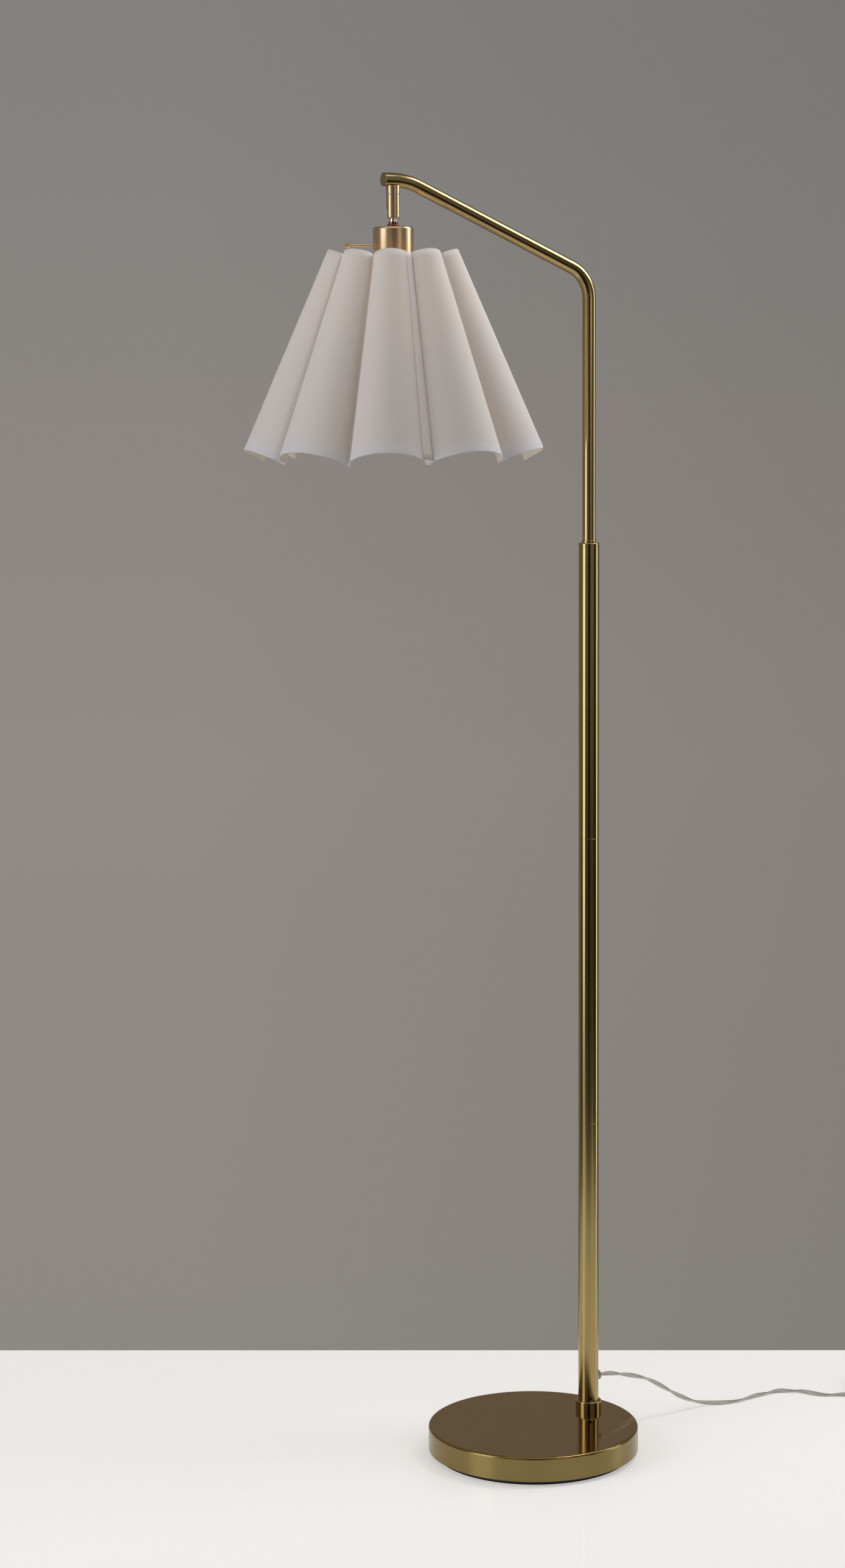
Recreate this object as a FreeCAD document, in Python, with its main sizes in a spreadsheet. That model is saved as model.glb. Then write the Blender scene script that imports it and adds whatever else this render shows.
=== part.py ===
"""Bridge floor lamp.

The frame: +Z is up, the origin is on the pole's axis at floor level, and the arm lies in the XZ plane and
points along -X. Lengths are in millimetres and angles in degrees.

From the floor up: a round base set off to one side of the pole, a pole of three equal tubes, a bent arm that
swings in the pole's top, a slotted ball swivel under the arm's tip, a cup with the lamp socket, and a
scalloped shade that a wire fitter holds on the socket. A flat lead leaves the pole just over the base, lies
along the floor and ends in a tied coil and a plug.
"""

import FreeCAD, Part

import math
import os
import re

import Sketcher
from FreeCAD import Placement, Rotation, Vector

# ---------------------------------------------------------------- driving dimensions

SIZES = {
    # base
    "base_diameter": 254.0,
    "base_shift_x": 89.2,
    "base_shift_y": 20.0,
    "shell_height": 29.2,
    "shell_wall": 1.2,
    "shell_edge_radius": 3.0,
    "plate_inset": 5.0,
    "plate_height": 3.0,
    "pad_inset": 4.0,
    "pad_height": 3.5,
    "weight_clearance": 0.4,
    "weight_height": 12.0,
    "boss_diameter": 44.0,
    "counterbore_diameter": 30.0,
    "counterbore_depth": 9.0,
    # stem and foot of the pole
    "stem_diameter": 10.0,
    "stem_bore": 7.0,
    "washer_diameter": 26.0,
    "washer_height": 1.5,
    "nut_flats": 14.0,
    "nut_height": 5.0,
    "collar_diameter": 31.6,
    "collar_height": 10.8,
    "collar_edge_radius": 1.2,
    "register_depth": 0.8,
    "insert_height": 20.0,
    "grub_diameter": 4.0,
    "grub_key": 2.0,
    "grub_over_collar": 3.9,
    "grub_angle": 252.0,
    # pole
    "pole_diameter": 25.0,
    "pole_wall": 1.2,
    "tube_length": 350.0,
    "tube_chamfer": 0.25,
    "coupler_length": 36.0,
    "coupler_bore": 16.0,
    "cap_height": 4.5,
    "cap_edge_radius": 1.0,
    "bearing_depth": 34.5,
    "bearing_floor": 4.0,
    "bearing_hole": 10.0,
    "ring_diameter": 17.5,
    "ring_height": 2.8,
    # arm
    "arm_diameter": 16.0,
    "arm_wall": 1.0,
    "arm_upright": 313.0,
    "slope_run": 242.4,
    "slope_rise": 108.4,
    "lower_bend_radius": 40.0,
    "upper_bend_radius": 90.0,
    "level_run": 28.3,
    "end_cap_height": 1.6,
    "end_cap_spigot": 3.8,
    "end_cap_edge_radius": 0.6,
    # swivel
    "head_setback": 12.3,
    "head_angle": 152.5,
    "saddle_drop": 7.8,
    "saddle_rise": 1.6,
    "swivel_gap": 0.6,
    "swivel_diameter": 15.8,
    "swivel_length": 27.5,
    "swivel_crown": 5.0,
    "swivel_edge_radius": 2.2,
    "swivel_mouth": 10.8,
    "nipple_diameter": 9.6,
    "nipple_bore": 5.2,
    "nipple_head_diameter": 12.0,
    "nipple_head_height": 1.8,
    "saddle_nut_diameter": 12.0,
    "saddle_nut_rise": 4.6,
    "slot_width": 8.8,
    "slot_over_ball": 4.6,
    # ball and neck
    "ball_diameter": 12.5,
    "ball_height": 6.1,
    "neck_length": 15.1,
    "slim_neck_diameter": 8.0,
    "slim_neck_length": 8.3,
    "neck_diameter": 9.1,
    "stud_diameter": 9.4,
    "stud_bore": 5.2,
    "bead_diameter": 13.5,
    "bead_height": 2.9,
    "tier_diameter": 10.9,
    "tier_height": 2.6,
    "bead_edge_radius": 1.1,
    # cup and socket
    "cup_diameter": 46.7,
    "cup_height": 50.0,
    "cup_wall": 1.0,
    "cup_edge_radius": 2.8,
    "cup_screw_reach": 13.8,
    "cup_screw_diameter": 2.0,
    "cup_screw_head": 3.4,
    "cup_screw_head_height": 1.1,
    "stud_nut_height": 5.0,
    "bridge_diameter": 34.0,
    "bridge_height": 1.5,
    "bridge_screw_reach": 12.0,
    "bridge_screw_diameter": 3.0,
    "bridge_screw_head": 5.4,
    "bridge_screw_head_height": 1.8,
    "bridge_screw_length": 8.0,
    "socket_diameter": 38.0,
    "socket_length": 60.0,
    "socket_block": 20.0,
    "skirt_diameter": 40.0,
    "skirt_length": 16.5,
    "skirt_bore": 35.0,
    "screw_shell_diameter": 28.6,
    "screw_shell_wall": 0.5,
    "screw_shell_length": 22.0,
    "contact_diameter": 7.0,
    "contact_height": 1.4,
    # switch
    "switch_drop": 20.7,
    "switch_rod_diameter": 3.0,
    "switch_rod_start": 6.5,
    "switch_rod_clearance": 1.0,
    "switch_reach": 56.3,
    "knob_diameter": 5.4,
    "knob_length": 6.8,
    "knob_edge_radius": 1.2,
    # bulb
    "bulb_diameter": 60.0,
    "bulb_length": 108.0,
    "bulb_glass": 0.9,
    "bulb_cap_diameter": 26.4,
    "bulb_cap_length": 25.0,
    "bulb_cap_wall": 0.4,
    "bulb_tip_height": 3.4,
    "bulb_tip_diameter": 10.0,
    "bulb_neck_diameter": 25.0,
    # shade
    "lobe_count": 10,
    "shade_angle_top": -1.3,
    "shade_angle_bottom": -1.8,
    "seam_angle_top": -1.1,
    "seam_angle_bottom": -1.8,
    "seam_valley": 3,
    "shade_rise": 28.4,
    "shade_height": 223.9,
    "shade_top_diameter": 153.2,
    "shade_bottom_diameter": 352.6,
    "crease_depth_top": 7.4,
    "crease_depth_bottom": 17.1,
    "fold_depth_top": 3.8,
    "fold_depth_bottom": 9.8,
    "fold_mouth_top": 2.5,
    "fold_mouth_bottom": 6.0,
    "fold_end_top": 1.2,
    "fold_end_bottom": 1.8,
    "seam_mouth_top": 2.7,
    "seam_mouth_bottom": 4.9,
    "seam_end_top": 1.3,
    "seam_end_bottom": 2.1,
    "seam_thickness": 0.6,
    "shade_wall": 0.8,
    "rim_slope": 0.58,
    "ring_wire": 2.8,
    "top_ring_below_rim": 10.0,
    "bottom_ring_rise": 2.5,
    "fitter_arm_wire": 3.0,
    "fitter_arm_count": 3,
    "hub_diameter": 54.0,
    "hub_height": 2.0,
    "upper_nut_height": 3.0,
    "lower_nut_height": 4.0,
    "shade_nut_diameter": 48.0,
    # lead, coil and plug
    "exit_over_base": 39.9,
    "grommet_flange": 11.7,
    "grommet_thickness": 3.0,
    "grommet_body": 8.0,
    "grommet_barb": 3.0,
    "inner_lead_diameter": 4.4,
    "inner_lead_bend": 6.0,
    "cord_diameter": 5.6,
    "coil_centre_x": 430.0,
    "coil_centre_y": -12.5,
    "coil_start_angle": -122.0,
    "coil_radius": 42.0,
    "coil_pitch": 6.1,
    "coil_layer_step": 6.1,
    "coil_turns": 3.25,
    "coil_tail": 26.0,
    "coil_lead_in": 18.0,
    "tie_width": 8.0,
    "tie_thickness": 0.6,
    "tie_gap": 0.3,
    "tie_angle": 55.0,
    "plug_length": 30.0,
    "plug_width": 24.0,
    "plug_thickness": 18.0,
    "plug_edge_radius": 3.5,
    "plug_neck_length": 12.0,
    "plug_neck_diameter": 9.0,
    "blade_spacing": 12.7,
    "blade_width": 6.3,
    "blade_thickness": 1.5,
    "blade_length": 17.0,
    # clearances
    "fit_gap": 0.1,
    "shaft_gap": 0.2,
    "running_gap": 0.3,
}

# Levels and radii worked out from the sizes. Each formula may use the ones before it.
PLACES = {
    "plate_diameter": "base_diameter - 2 * plate_inset",
    "pad_diameter": "plate_diameter - 2 * pad_inset",
    "plate_top": "pad_height + plate_height",
    "shell_top": "plate_top + shell_height",
    "weight_top": "shell_top - shell_wall",
    "counterbore_top": "plate_top + counterbore_depth",
    "washer_bottom": "counterbore_top - washer_height",
    "nut_bottom": "washer_bottom - nut_height",
    "collar_top": "shell_top + collar_height",
    "pole_foot": "collar_top - register_depth",
    "insert_top": "pole_foot + insert_height",
    "grub_level": "collar_top + grub_over_collar",
    "lower_joint": "pole_foot + tube_length",
    "upper_joint": "lower_joint + tube_length",
    "pole_top": "upper_joint + tube_length",
    "pole_bore_radius": "pole_diameter / 2 - pole_wall",
    "insert_radius": "pole_bore_radius - fit_gap",
    "cap_top": "pole_top + cap_height",
    "bearing_bottom": "pole_top - bearing_depth",
    "arm_foot": "bearing_bottom + running_gap",
    "ring_bottom": "cap_top + running_gap",
    "arm_reach": "slope_run + level_run",
    "head_reach": "arm_reach - head_setback",
    "arm_corner": "cap_top + arm_upright",
    "arm_axis": "arm_corner + slope_rise",
    "arm_bore_radius": "arm_diameter / 2 - arm_wall",
    "saddle_bottom": "arm_axis - arm_diameter / 2 - saddle_drop",
    "saddle_top": "arm_axis - arm_diameter / 2 + saddle_rise",
    "swivel_top": "saddle_bottom - swivel_gap",
    "swivel_bottom": "swivel_top - swivel_length",
    "crown_bottom": "swivel_top - swivel_crown",
    "nipple_head_top": "crown_bottom - running_gap",
    "nipple_bottom": "nipple_head_top - nipple_head_height",
    "saddle_nut_top": "arm_axis - arm_bore_radius + saddle_nut_rise - 1",
    "ball_level": "swivel_bottom + ball_height",
    "slot_top": "ball_level + slot_over_ball",
    "cavity_radius": "ball_diameter / 2 + shaft_gap",
    "cup_top": "ball_level - neck_length",
    "bead_top": "cup_top + bead_height",
    "tier_top": "bead_top + tier_height",
    "cup_bottom": "cup_top - cup_height",
    "stud_nut_bottom": "cup_top - cup_wall - stud_nut_height",
    "socket_top": "stud_nut_bottom - bridge_height",
    "socket_bottom": "socket_top - socket_length",
    "socket_ceiling": "socket_top - socket_block",
    "skirt_top": "socket_bottom + skirt_length",
    "switch_level": "cup_top - switch_drop",
    "screw_shell_top": "socket_ceiling - 1",
    "screw_shell_bottom": "screw_shell_top - screw_shell_length",
    "contact_bottom": "socket_ceiling - contact_height",
    "bulb_top": "contact_bottom - shaft_gap",
    "bulb_cap_top": "bulb_top - bulb_tip_height",
    "bulb_cap_bottom": "bulb_cap_top - bulb_cap_length",
    "bulb_centre": "bulb_top - bulb_length + bulb_diameter / 2",
    "upper_nut_bottom": "skirt_top - upper_nut_height",
    "hub_bottom": "upper_nut_bottom - hub_height",
    "lower_nut_bottom": "hub_bottom - lower_nut_height",
    "shade_top": "upper_nut_bottom + shade_rise",
    "shade_bottom": "shade_top - shade_height",
    "exit_level": "shell_top + exit_over_base",
    "coil_level": "tie_thickness + tie_gap + cord_diameter / 2",
}

# Points of the lead's route, chosen by hand: out of the pole, down to the floor and along it.
CORD_ROUTE = [
    (28.0, 0.0, 75.6),
    (47.0, 2.5, 70.5),
    (69.0, 8.5, 63.5),
    (95.0, 13.2, 54.3),
    (126.0, 18.0, 33.5),
    (157.5, 23.5, 14.0),
    (188.0, 29.5, 2.8),
    (216.0, 19.0, 2.8),
    (251.5, 22.5, 2.8),
    (288.0, 30.5, 2.8),
    (320.0, 20.5, 2.8),
    (332.0, -7.0, 2.8),
    (363.5, -26.0, 2.8),
]

doc = FreeCAD.newDocument("bridge_floor_lamp")
nodes = []


def linked(text):
    """The expression with each name pointing at its cell."""

    def cell(found):
        name = found.group()
        if name in SIZES:
            return "Sizes." + name
        return "Places." + name if name in PLACES else name

    return re.sub(r"[a-z]\w*", cell, text)


def make_sheets():
    sizes = doc.addObject("Spreadsheet::Sheet", "Sizes")
    for row, (name, number) in enumerate(SIZES.items(), 1):
        sizes.set(f"A{row}", name)
        sizes.set(f"B{row}", str(number))
        sizes.setAlias(f"B{row}", name)
    doc.recompute()
    places = doc.addObject("Spreadsheet::Sheet", "Places")
    for row, (name, formula) in enumerate(PLACES.items(), 1):
        places.set(f"A{row}", name)
        places.setAlias(f"B{row}", name)
        places.set(f"B{row}", "=" + linked(formula))
    doc.recompute()
    return sizes, places


sizes, places = make_sheets()


def mm(name):
    """A size or a worked-out place as a number."""
    return float((sizes if name in SIZES else places).get(name))


# ---------------------------------------------------------------- ways of making a piece


def bind(thing, **settings):
    """Ties properties to expressions, such as Radius="pole_diameter / 2"."""
    for name, text in settings.items():
        thing.setExpression(name.replace("__", "."), linked(text))
    return thing


def place(thing, x=None, y=None, z=None):
    for axis, text in (("x", x), ("y", y), ("z", z)):
        if text is not None:
            thing.setExpression("Placement.Base." + axis, linked(text))
    return thing


def node(thing, name):
    """Counts the object as a sub-part under this name."""
    thing.Label = name
    nodes.append(thing)
    return thing


def origin_plane(body, role):
    return next(feature for feature in body.Origin.OriginFeatures if feature.Role == role)


def attached_sketch(body, role, name):
    sketch = body.newObject("Sketcher::SketchObject", name)
    sketch.AttachmentSupport = [(origin_plane(body, role), "")]
    sketch.MapMode = "FlatFace"
    return sketch


def closed_outline(sketch, corners):
    """A closed polygon whose corners (across, up) are expressions."""
    count = len(corners)
    start = [direction(360 * i / count) * mm("pole_diameter") for i in range(count)]
    sketch.addGeometry([Part.LineSegment(start[i], start[(i + 1) % count]) for i in range(count)], False)
    rules = [Sketcher.Constraint("Coincident", i, 2, (i + 1) % count, 1) for i in range(count)]
    for i in range(count):
        for kind, tag, value in (("DistanceX", "across", start[i].x), ("DistanceY", "up", start[i].y)):
            rule = Sketcher.Constraint(kind, -1, 1, i, 1, value)
            rule.Name = f"{tag}{i}"
            rules.append(rule)
    sketch.addConstraint(rules)
    for i, (across, up) in enumerate(corners):
        sketch.setExpression(f"Constraints.across{i}", linked(across))
        sketch.setExpression(f"Constraints.up{i}", linked(up))


def round_edges(body, feature, sketch, rounds):
    """Rounds the circular edges that the sketch's numbered corners swept: {corner: radius}."""
    for corner, radius in rounds.items():
        at = sketch.Geometry[corner].StartPoint
        edges = []
        for number, edge in enumerate(feature.Shape.Edges, 1):
            if isinstance(edge.Curve, Part.Circle):
                same_radius = abs(edge.Curve.Radius - abs(at.x)) < 1e-6
                if same_radius and abs(edge.Curve.Center.z - at.y) < 1e-6:
                    edges.append(f"Edge{number}")
        fillet = body.newObject("PartDesign::Fillet", f"{body.Name}_round{corner}")
        fillet.Base = (feature, edges)
        bind(fillet, Radius=radius)
        doc.recompute()
        feature = fillet
    return feature


def turned(name, corners, rounds=None):
    """A body turned about its own Z axis from an outline of (radius, height) corners."""
    body = doc.addObject("PartDesign::Body", name)
    sketch = attached_sketch(body, "XZ_Plane", name + "_outline")
    closed_outline(sketch, corners)
    turn = body.newObject("PartDesign::Revolution", name + "_turn")
    turn.Profile = sketch
    turn.ReferenceAxis = (sketch, ["V_Axis"])
    turn.Angle = 360
    doc.recompute()
    round_edges(body, turn, sketch, rounds or {})
    return body


def sleeve(name, outer, inner, bottom, top, rounds=None):
    """A turned ring between two radii and two heights, its corners numbered from inside bottom."""
    return turned(name, [(inner, bottom), (outer, bottom), (outer, top), (inner, top)], rounds)


def primitive(kind, name, **settings):
    return bind(doc.addObject("Part::" + kind, name), **settings)


def cut(name, base, *tools):
    """The base without the tools."""
    tool = tools[0]
    if len(tools) > 1:
        tool = doc.addObject("Part::MultiFuse", name + "_tools")
        tool.Shapes = list(tools)
    result = doc.addObject("Part::Cut", name + "_cut")
    result.Base = base
    result.Tool = tool
    return result


def joined(name, *pieces):
    result = doc.addObject("Part::MultiFuse", name + "_joined")
    result.Shapes = list(pieces)
    return result


def shaped(name, shape):
    """A sub-part whose shape comes straight from geometry."""
    thing = doc.addObject("Part::Feature", name)
    thing.Shape = shape
    return thing


def outward(angle):
    """Turns local Z to the horizontal direction at this angle from +X."""
    return Rotation(Vector(0, 0, 1), angle) * Rotation(Vector(0, 1, 0), 90)


def direction(angle):
    return Vector(math.cos(math.radians(angle)), math.sin(math.radians(angle)), 0)


def lay(thing, angle, start, level):
    """Points a piece along a horizontal direction from the pole's axis, or from wherever start is."""
    thing.Placement = Placement(Vector(start.x, start.y, level), outward(angle))
    return thing


def rounded_path(points, radii=None):
    """Straight runs joined by tangent arcs. Without radii, each arc takes 0.45 of its shorter run."""
    edges = []
    start = points[0]
    used = []
    for i in range(1, len(points) - 1):
        before = (points[i] - points[i - 1])
        after = (points[i + 1] - points[i])
        shorter = min(before.Length, after.Length)
        before.normalize()
        after.normalize()
        half_turn = before.getAngle(after) / 2
        radius = radii[i - 1] if radii else 0.45 * shorter / math.tan(half_turn)
        reach = radius * math.tan(half_turn)
        enter = points[i] - before * reach
        leave = points[i] + after * reach
        inward = (after - before).normalize()
        middle = points[i] + inward * (radius / math.cos(half_turn) - radius)
        edges.append(Part.LineSegment(start, enter).toShape())
        edges.append(Part.Arc(enter, middle, leave).toShape())
        start = leave
        used.append(radius)
    edges.append(Part.LineSegment(start, points[-1]).toShape())
    return Part.Wire(edges), used


def tube_along(path, radius):
    """A round solid along a path, swept from its first edge."""
    edge = path.Edges[0]
    at = edge.valueAt(edge.FirstParameter)
    along = edge.tangentAt(edge.FirstParameter)
    section = Part.Wire(Part.Circle(at, along, radius).toShape())
    return path.makePipeShell([section], True, False)


# ---------------------------------------------------------------- base


def at_base_centre(thing):
    return place(thing, x="-base_shift_x", y="-base_shift_y")


def base_shell():
    body = turned(
        "base_shell_blank",
        [
            ("0", "shell_top"),
            ("0", "weight_top"),
            ("base_diameter / 2 - shell_wall", "weight_top"),
            ("base_diameter / 2 - shell_wall", "plate_top"),
            ("base_diameter / 2", "plate_top"),
            ("base_diameter / 2", "shell_top"),
        ],
        {5: "shell_edge_radius", 2: "shell_edge_radius - shell_wall"},
    )
    hole = primitive("Cylinder", "shell_hole", Radius="stem_diameter / 2 + fit_gap", Height="3 * shell_wall")
    place(hole, z="shell_top - 2 * shell_wall")
    node(cut("base_shell", at_base_centre(body), hole), "base_shell")


def base_weight():
    rim = "base_diameter / 2 - shell_wall - weight_clearance"
    top = "plate_top + weight_height"
    body = turned(
        "base_weight_blank",
        [
            ("0", "plate_top"),
            (rim, "plate_top"),
            (rim, top + " - shell_edge_radius"),
            (rim + " - shell_edge_radius", top),
            ("0", top),
        ],
    )
    boss = primitive("Cylinder", "weight_boss", Radius="boss_diameter / 2", Height="weight_top - plate_top")
    place(boss, z="plate_top")
    casting = joined("base_weight", at_base_centre(body), boss)
    hole = primitive("Cylinder", "weight_hole", Radius="stem_diameter / 2 + fit_gap", Height="shell_height")
    place(hole, z="plate_top")
    recess = primitive(
        "Cylinder", "weight_recess", Radius="counterbore_diameter / 2", Height="counterbore_depth"
    )
    place(recess, z="plate_top")
    node(cut("base_weight", casting, hole, recess), "base_weight")


def base_underside():
    for name, radius, bottom, top in (
        ("base_underplate", "plate_diameter / 2", "pad_height", "plate_top"),
        ("foot_pad", "pad_diameter / 2", "0", "pad_height"),
    ):
        disc = turned(name, [("0", bottom), (radius, bottom), (radius, top), ("0", top)])
        node(at_base_centre(disc), name)


def hexagon(name, flats, bottom, height):
    prism = primitive("Prism", name, Circumradius=f"{flats} / sqrt(3)", Height=height)
    prism.Polygon = 6
    return place(prism, z=bottom)


def base_fasteners():
    stem = sleeve("base_stem", "stem_diameter / 2", "stem_bore / 2", "nut_bottom", "insert_top - fit_gap")
    node(stem, "base_stem")
    hole = "stem_diameter / 2 + fit_gap / 2"
    washer = sleeve("base_washer", "washer_diameter / 2", hole, "washer_bottom", "counterbore_top")
    node(washer, "base_washer")
    nut = hexagon("base_nut_blank", "nut_flats", "nut_bottom", "nut_height")
    bore = primitive("Cylinder", "base_nut_bore", Radius=hole, Height="nut_height")
    node(cut("base_nut", nut, place(bore, z="nut_bottom")), "base_nut")


# ---------------------------------------------------------------- pole


def foot_of_pole():
    collar = turned(
        "foot_collar",
        [
            ("stem_diameter / 2 + fit_gap", "shell_top"),
            ("collar_diameter / 2", "shell_top"),
            ("collar_diameter / 2", "collar_top"),
            ("pole_diameter / 2 + fit_gap", "collar_top"),
            ("pole_diameter / 2 + fit_gap", "pole_foot"),
            ("stem_diameter / 2 + fit_gap", "pole_foot"),
        ],
        {2: "collar_edge_radius"},
    )
    node(collar, "foot_collar")
    bore = "stem_diameter / 2 + fit_gap / 2"
    plug = sleeve("foot_insert_blank", "insert_radius", bore, "pole_foot", "insert_top")
    grub_radius = "grub_diameter / 2 + fit_gap / 2"
    seat = primitive("Cylinder", "grub_seat", Radius=grub_radius, Height="pole_diameter / 2")
    lay(seat, mm("grub_angle"), direction(mm("grub_angle")) * mm("stem_diameter") / 2, mm("grub_level"))
    node(cut("foot_insert", plug, seat), "foot_insert")
    screw = turned(
        "grub_screw",
        [
            ("0", "stem_diameter / 2 + fit_gap"),
            ("grub_diameter / 2", "stem_diameter / 2 + fit_gap"),
            ("grub_diameter / 2", "pole_diameter / 2 - fit_gap"),
            ("grub_key / 2", "pole_diameter / 2 - fit_gap"),
            ("grub_key / 2", "pole_diameter / 2 - fit_gap - grub_key"),
            ("0", "pole_diameter / 2 - fit_gap - grub_key"),
        ],
    )
    node(lay(screw, mm("grub_angle"), Vector(0, 0, 0), mm("grub_level")), "grub_screw")


def pole_tube(name, bottom, top):
    outer = "pole_diameter / 2"
    return turned(
        name,
        [
            ("pole_bore_radius", bottom),
            (outer + " - tube_chamfer", bottom),
            (outer, bottom + " + tube_chamfer"),
            (outer, top + " - tube_chamfer"),
            (outer + " - tube_chamfer", top),
            ("pole_bore_radius", top),
        ],
    )


def pole():
    blank = pole_tube("pole_lower_blank", "pole_foot", "lower_joint")
    grub_radius = "grub_diameter / 2 + fit_gap / 2"
    grub_hole = primitive("Cylinder", "grub_hole", Radius=grub_radius, Height="pole_diameter")
    lay(grub_hole, mm("grub_angle"), Vector(0, 0, 0), mm("grub_level"))
    lead_radius = "grommet_body / 2 + fit_gap"
    lead_hole = primitive("Cylinder", "lead_hole", Radius=lead_radius, Height="pole_diameter")
    lay(lead_hole, 0, Vector(0, 0, 0), mm("exit_level"))
    node(cut("pole_lower", blank, grub_hole, lead_hole), "pole_lower")
    node(pole_tube("pole_middle", "lower_joint", "upper_joint"), "pole_middle")
    node(pole_tube("pole_upper", "upper_joint", "pole_top"), "pole_upper")
    for name, level in (("lower_coupler", "lower_joint"), ("upper_coupler", "upper_joint")):
        bottom = level + " - coupler_length / 2"
        top = level + " + coupler_length / 2"
        node(sleeve(name, "insert_radius", "coupler_bore / 2", bottom, top), name)


def top_of_pole():
    bore = "arm_diameter / 2 + shaft_gap"
    cap = turned(
        "reducer_cap",
        [
            ("bearing_hole / 2", "bearing_bottom - bearing_floor"),
            ("insert_radius", "bearing_bottom - bearing_floor"),
            ("insert_radius", "pole_top"),
            ("pole_diameter / 2", "pole_top"),
            ("pole_diameter / 2", "cap_top"),
            (bore, "cap_top"),
            (bore, "bearing_bottom"),
            ("bearing_hole / 2", "bearing_bottom"),
        ],
        {4: "cap_edge_radius"},
    )
    node(cap, "reducer_cap")
    ring = sleeve(
        "swing_collar",
        "ring_diameter / 2",
        "arm_diameter / 2 + fit_gap / 2",
        "ring_bottom",
        "ring_bottom + ring_height",
        {2: "ring_height / 6"},
    )
    node(ring, "swing_collar")


# ---------------------------------------------------------------- arm


def arm_corners():
    """The three corners of the arm's axis after its foot: bend, bend and end."""
    return [
        Vector(0, 0, mm("arm_corner")),
        Vector(-mm("slope_run"), 0, mm("arm_axis")),
        Vector(-mm("arm_reach") + mm("end_cap_height"), 0, mm("arm_axis")),
    ]


def arm_spine(body):
    """The arm's axis: upright, bend, slope, bend and level end, all tangent."""
    sketch = attached_sketch(body, "XZ_Plane", "arm_axis_line")
    slope = math.atan2(mm("slope_rise"), mm("slope_run"))
    low, high = mm("lower_bend_radius"), mm("upper_bend_radius")
    low_turn = math.pi / 2 - slope
    bend, level, end = (Vector(at.x, at.z, 0) for at in arm_corners())
    up_slope = Vector(-math.cos(slope), math.sin(slope), 0)
    low_reach = low * math.tan(low_turn / 2)
    high_reach = high * math.tan(slope / 2)
    flat = Vector(0, 0, 1)
    points = [
        Vector(0, mm("arm_foot"), 0),
        bend - Vector(0, low_reach, 0),
        bend + up_slope * low_reach,
        level - up_slope * high_reach,
        level - Vector(high_reach, 0, 0),
        end,
    ]
    low_circle = Part.Circle(points[1] - Vector(low, 0, 0), flat, low)
    high_circle = Part.Circle(points[4] - Vector(0, high, 0), flat, high)
    sketch.addGeometry(
        [
            Part.LineSegment(points[0], points[1]),
            Part.ArcOfCircle(low_circle, 0, low_turn),
            Part.LineSegment(points[2], points[3]),
            Part.ArcOfCircle(high_circle, low_turn, math.pi / 2),
            Part.LineSegment(points[4], points[5]),
        ],
        False,
    )
    rules = [
        Sketcher.Constraint("PointOnObject", 0, 1, -2),
        Sketcher.Constraint("Vertical", 0),
        Sketcher.Constraint("Tangent", 0, 2, 1, 1),
        Sketcher.Constraint("Tangent", 1, 2, 2, 1),
        Sketcher.Constraint("Tangent", 2, 2, 3, 1),
        Sketcher.Constraint("Tangent", 3, 2, 4, 1),
        Sketcher.Constraint("Horizontal", 4),
    ]
    measures = {
        "foot": (Sketcher.Constraint("DistanceY", -1, 1, 0, 1, points[0].y), "arm_foot"),
        "low_radius": (Sketcher.Constraint("Radius", 1, low), "lower_bend_radius"),
        "high_radius": (Sketcher.Constraint("Radius", 3, high), "upper_bend_radius"),
        "axis_level": (Sketcher.Constraint("DistanceY", -1, 1, 4, 2, end.y), "arm_axis"),
        "reach": (Sketcher.Constraint("DistanceX", -1, 1, 4, 2, end.x), "end_cap_height - arm_reach"),
        "bend_start": (
            Sketcher.Constraint("DistanceY", -1, 1, 0, 2, points[1].y),
            "arm_corner - lower_bend_radius * tan(45 - atan(slope_rise / slope_run) / 2)",
        ),
        "slope": (Sketcher.Constraint("Angle", 2, math.pi - slope), "180 - atan(slope_rise / slope_run)"),
    }
    for name, (rule, _) in measures.items():
        rule.Name = name
        rules.append(rule)
    sketch.addConstraint(rules)
    doc.recompute()
    return sketch


def arm_tube():
    body = doc.addObject("PartDesign::Body", "arm_tube_blank")
    spine = arm_spine(body)
    section = attached_sketch(body, "XY_Plane", "arm_section")
    bind(section, AttachmentOffset__Base__z="arm_foot")
    flat = Vector(0, 0, 1)
    section.addGeometry(
        [
            Part.Circle(Vector(0, 0, 0), flat, mm("arm_diameter") / 2),
            Part.Circle(Vector(0, 0, 0), flat, mm("arm_bore_radius")),
        ],
        False,
    )
    rules = [
        Sketcher.Constraint("Coincident", 0, 3, -1, 1),
        Sketcher.Constraint("Coincident", 1, 3, -1, 1),
    ]
    circles = (("outside", mm("arm_diameter") / 2), ("inside", mm("arm_bore_radius")))
    for number, (name, radius) in enumerate(circles):
        rule = Sketcher.Constraint("Radius", number, radius)
        rule.Name = name
        rules.append(rule)
    section.addConstraint(rules)
    bind(section, Constraints__outside="arm_diameter / 2", Constraints__inside="arm_bore_radius")
    doc.recompute()
    pipe = body.newObject("PartDesign::AdditivePipe", "arm_pipe")
    pipe.Profile = section
    pipe.Spine = (spine, [f"Edge{number}" for number in range(1, 6)])
    doc.recompute()
    hole = primitive("Cylinder", "arm_hole", Radius="nipple_diameter / 2 + fit_gap", Height="2 * saddle_drop")
    place(hole, x="-head_reach", z="arm_axis - arm_diameter / 2 - saddle_drop")
    node(cut("arm_tube", body, hole), "arm_tube")


def arm_envelope(radius):
    """A solid round bar along the arm's axis, to fit pieces against the tube."""
    corners = [Vector(0, 0, mm("arm_foot"))] + arm_corners()
    path, _ = rounded_path(corners, [mm("lower_bend_radius"), mm("upper_bend_radius")])
    return tube_along(path, radius)


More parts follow.
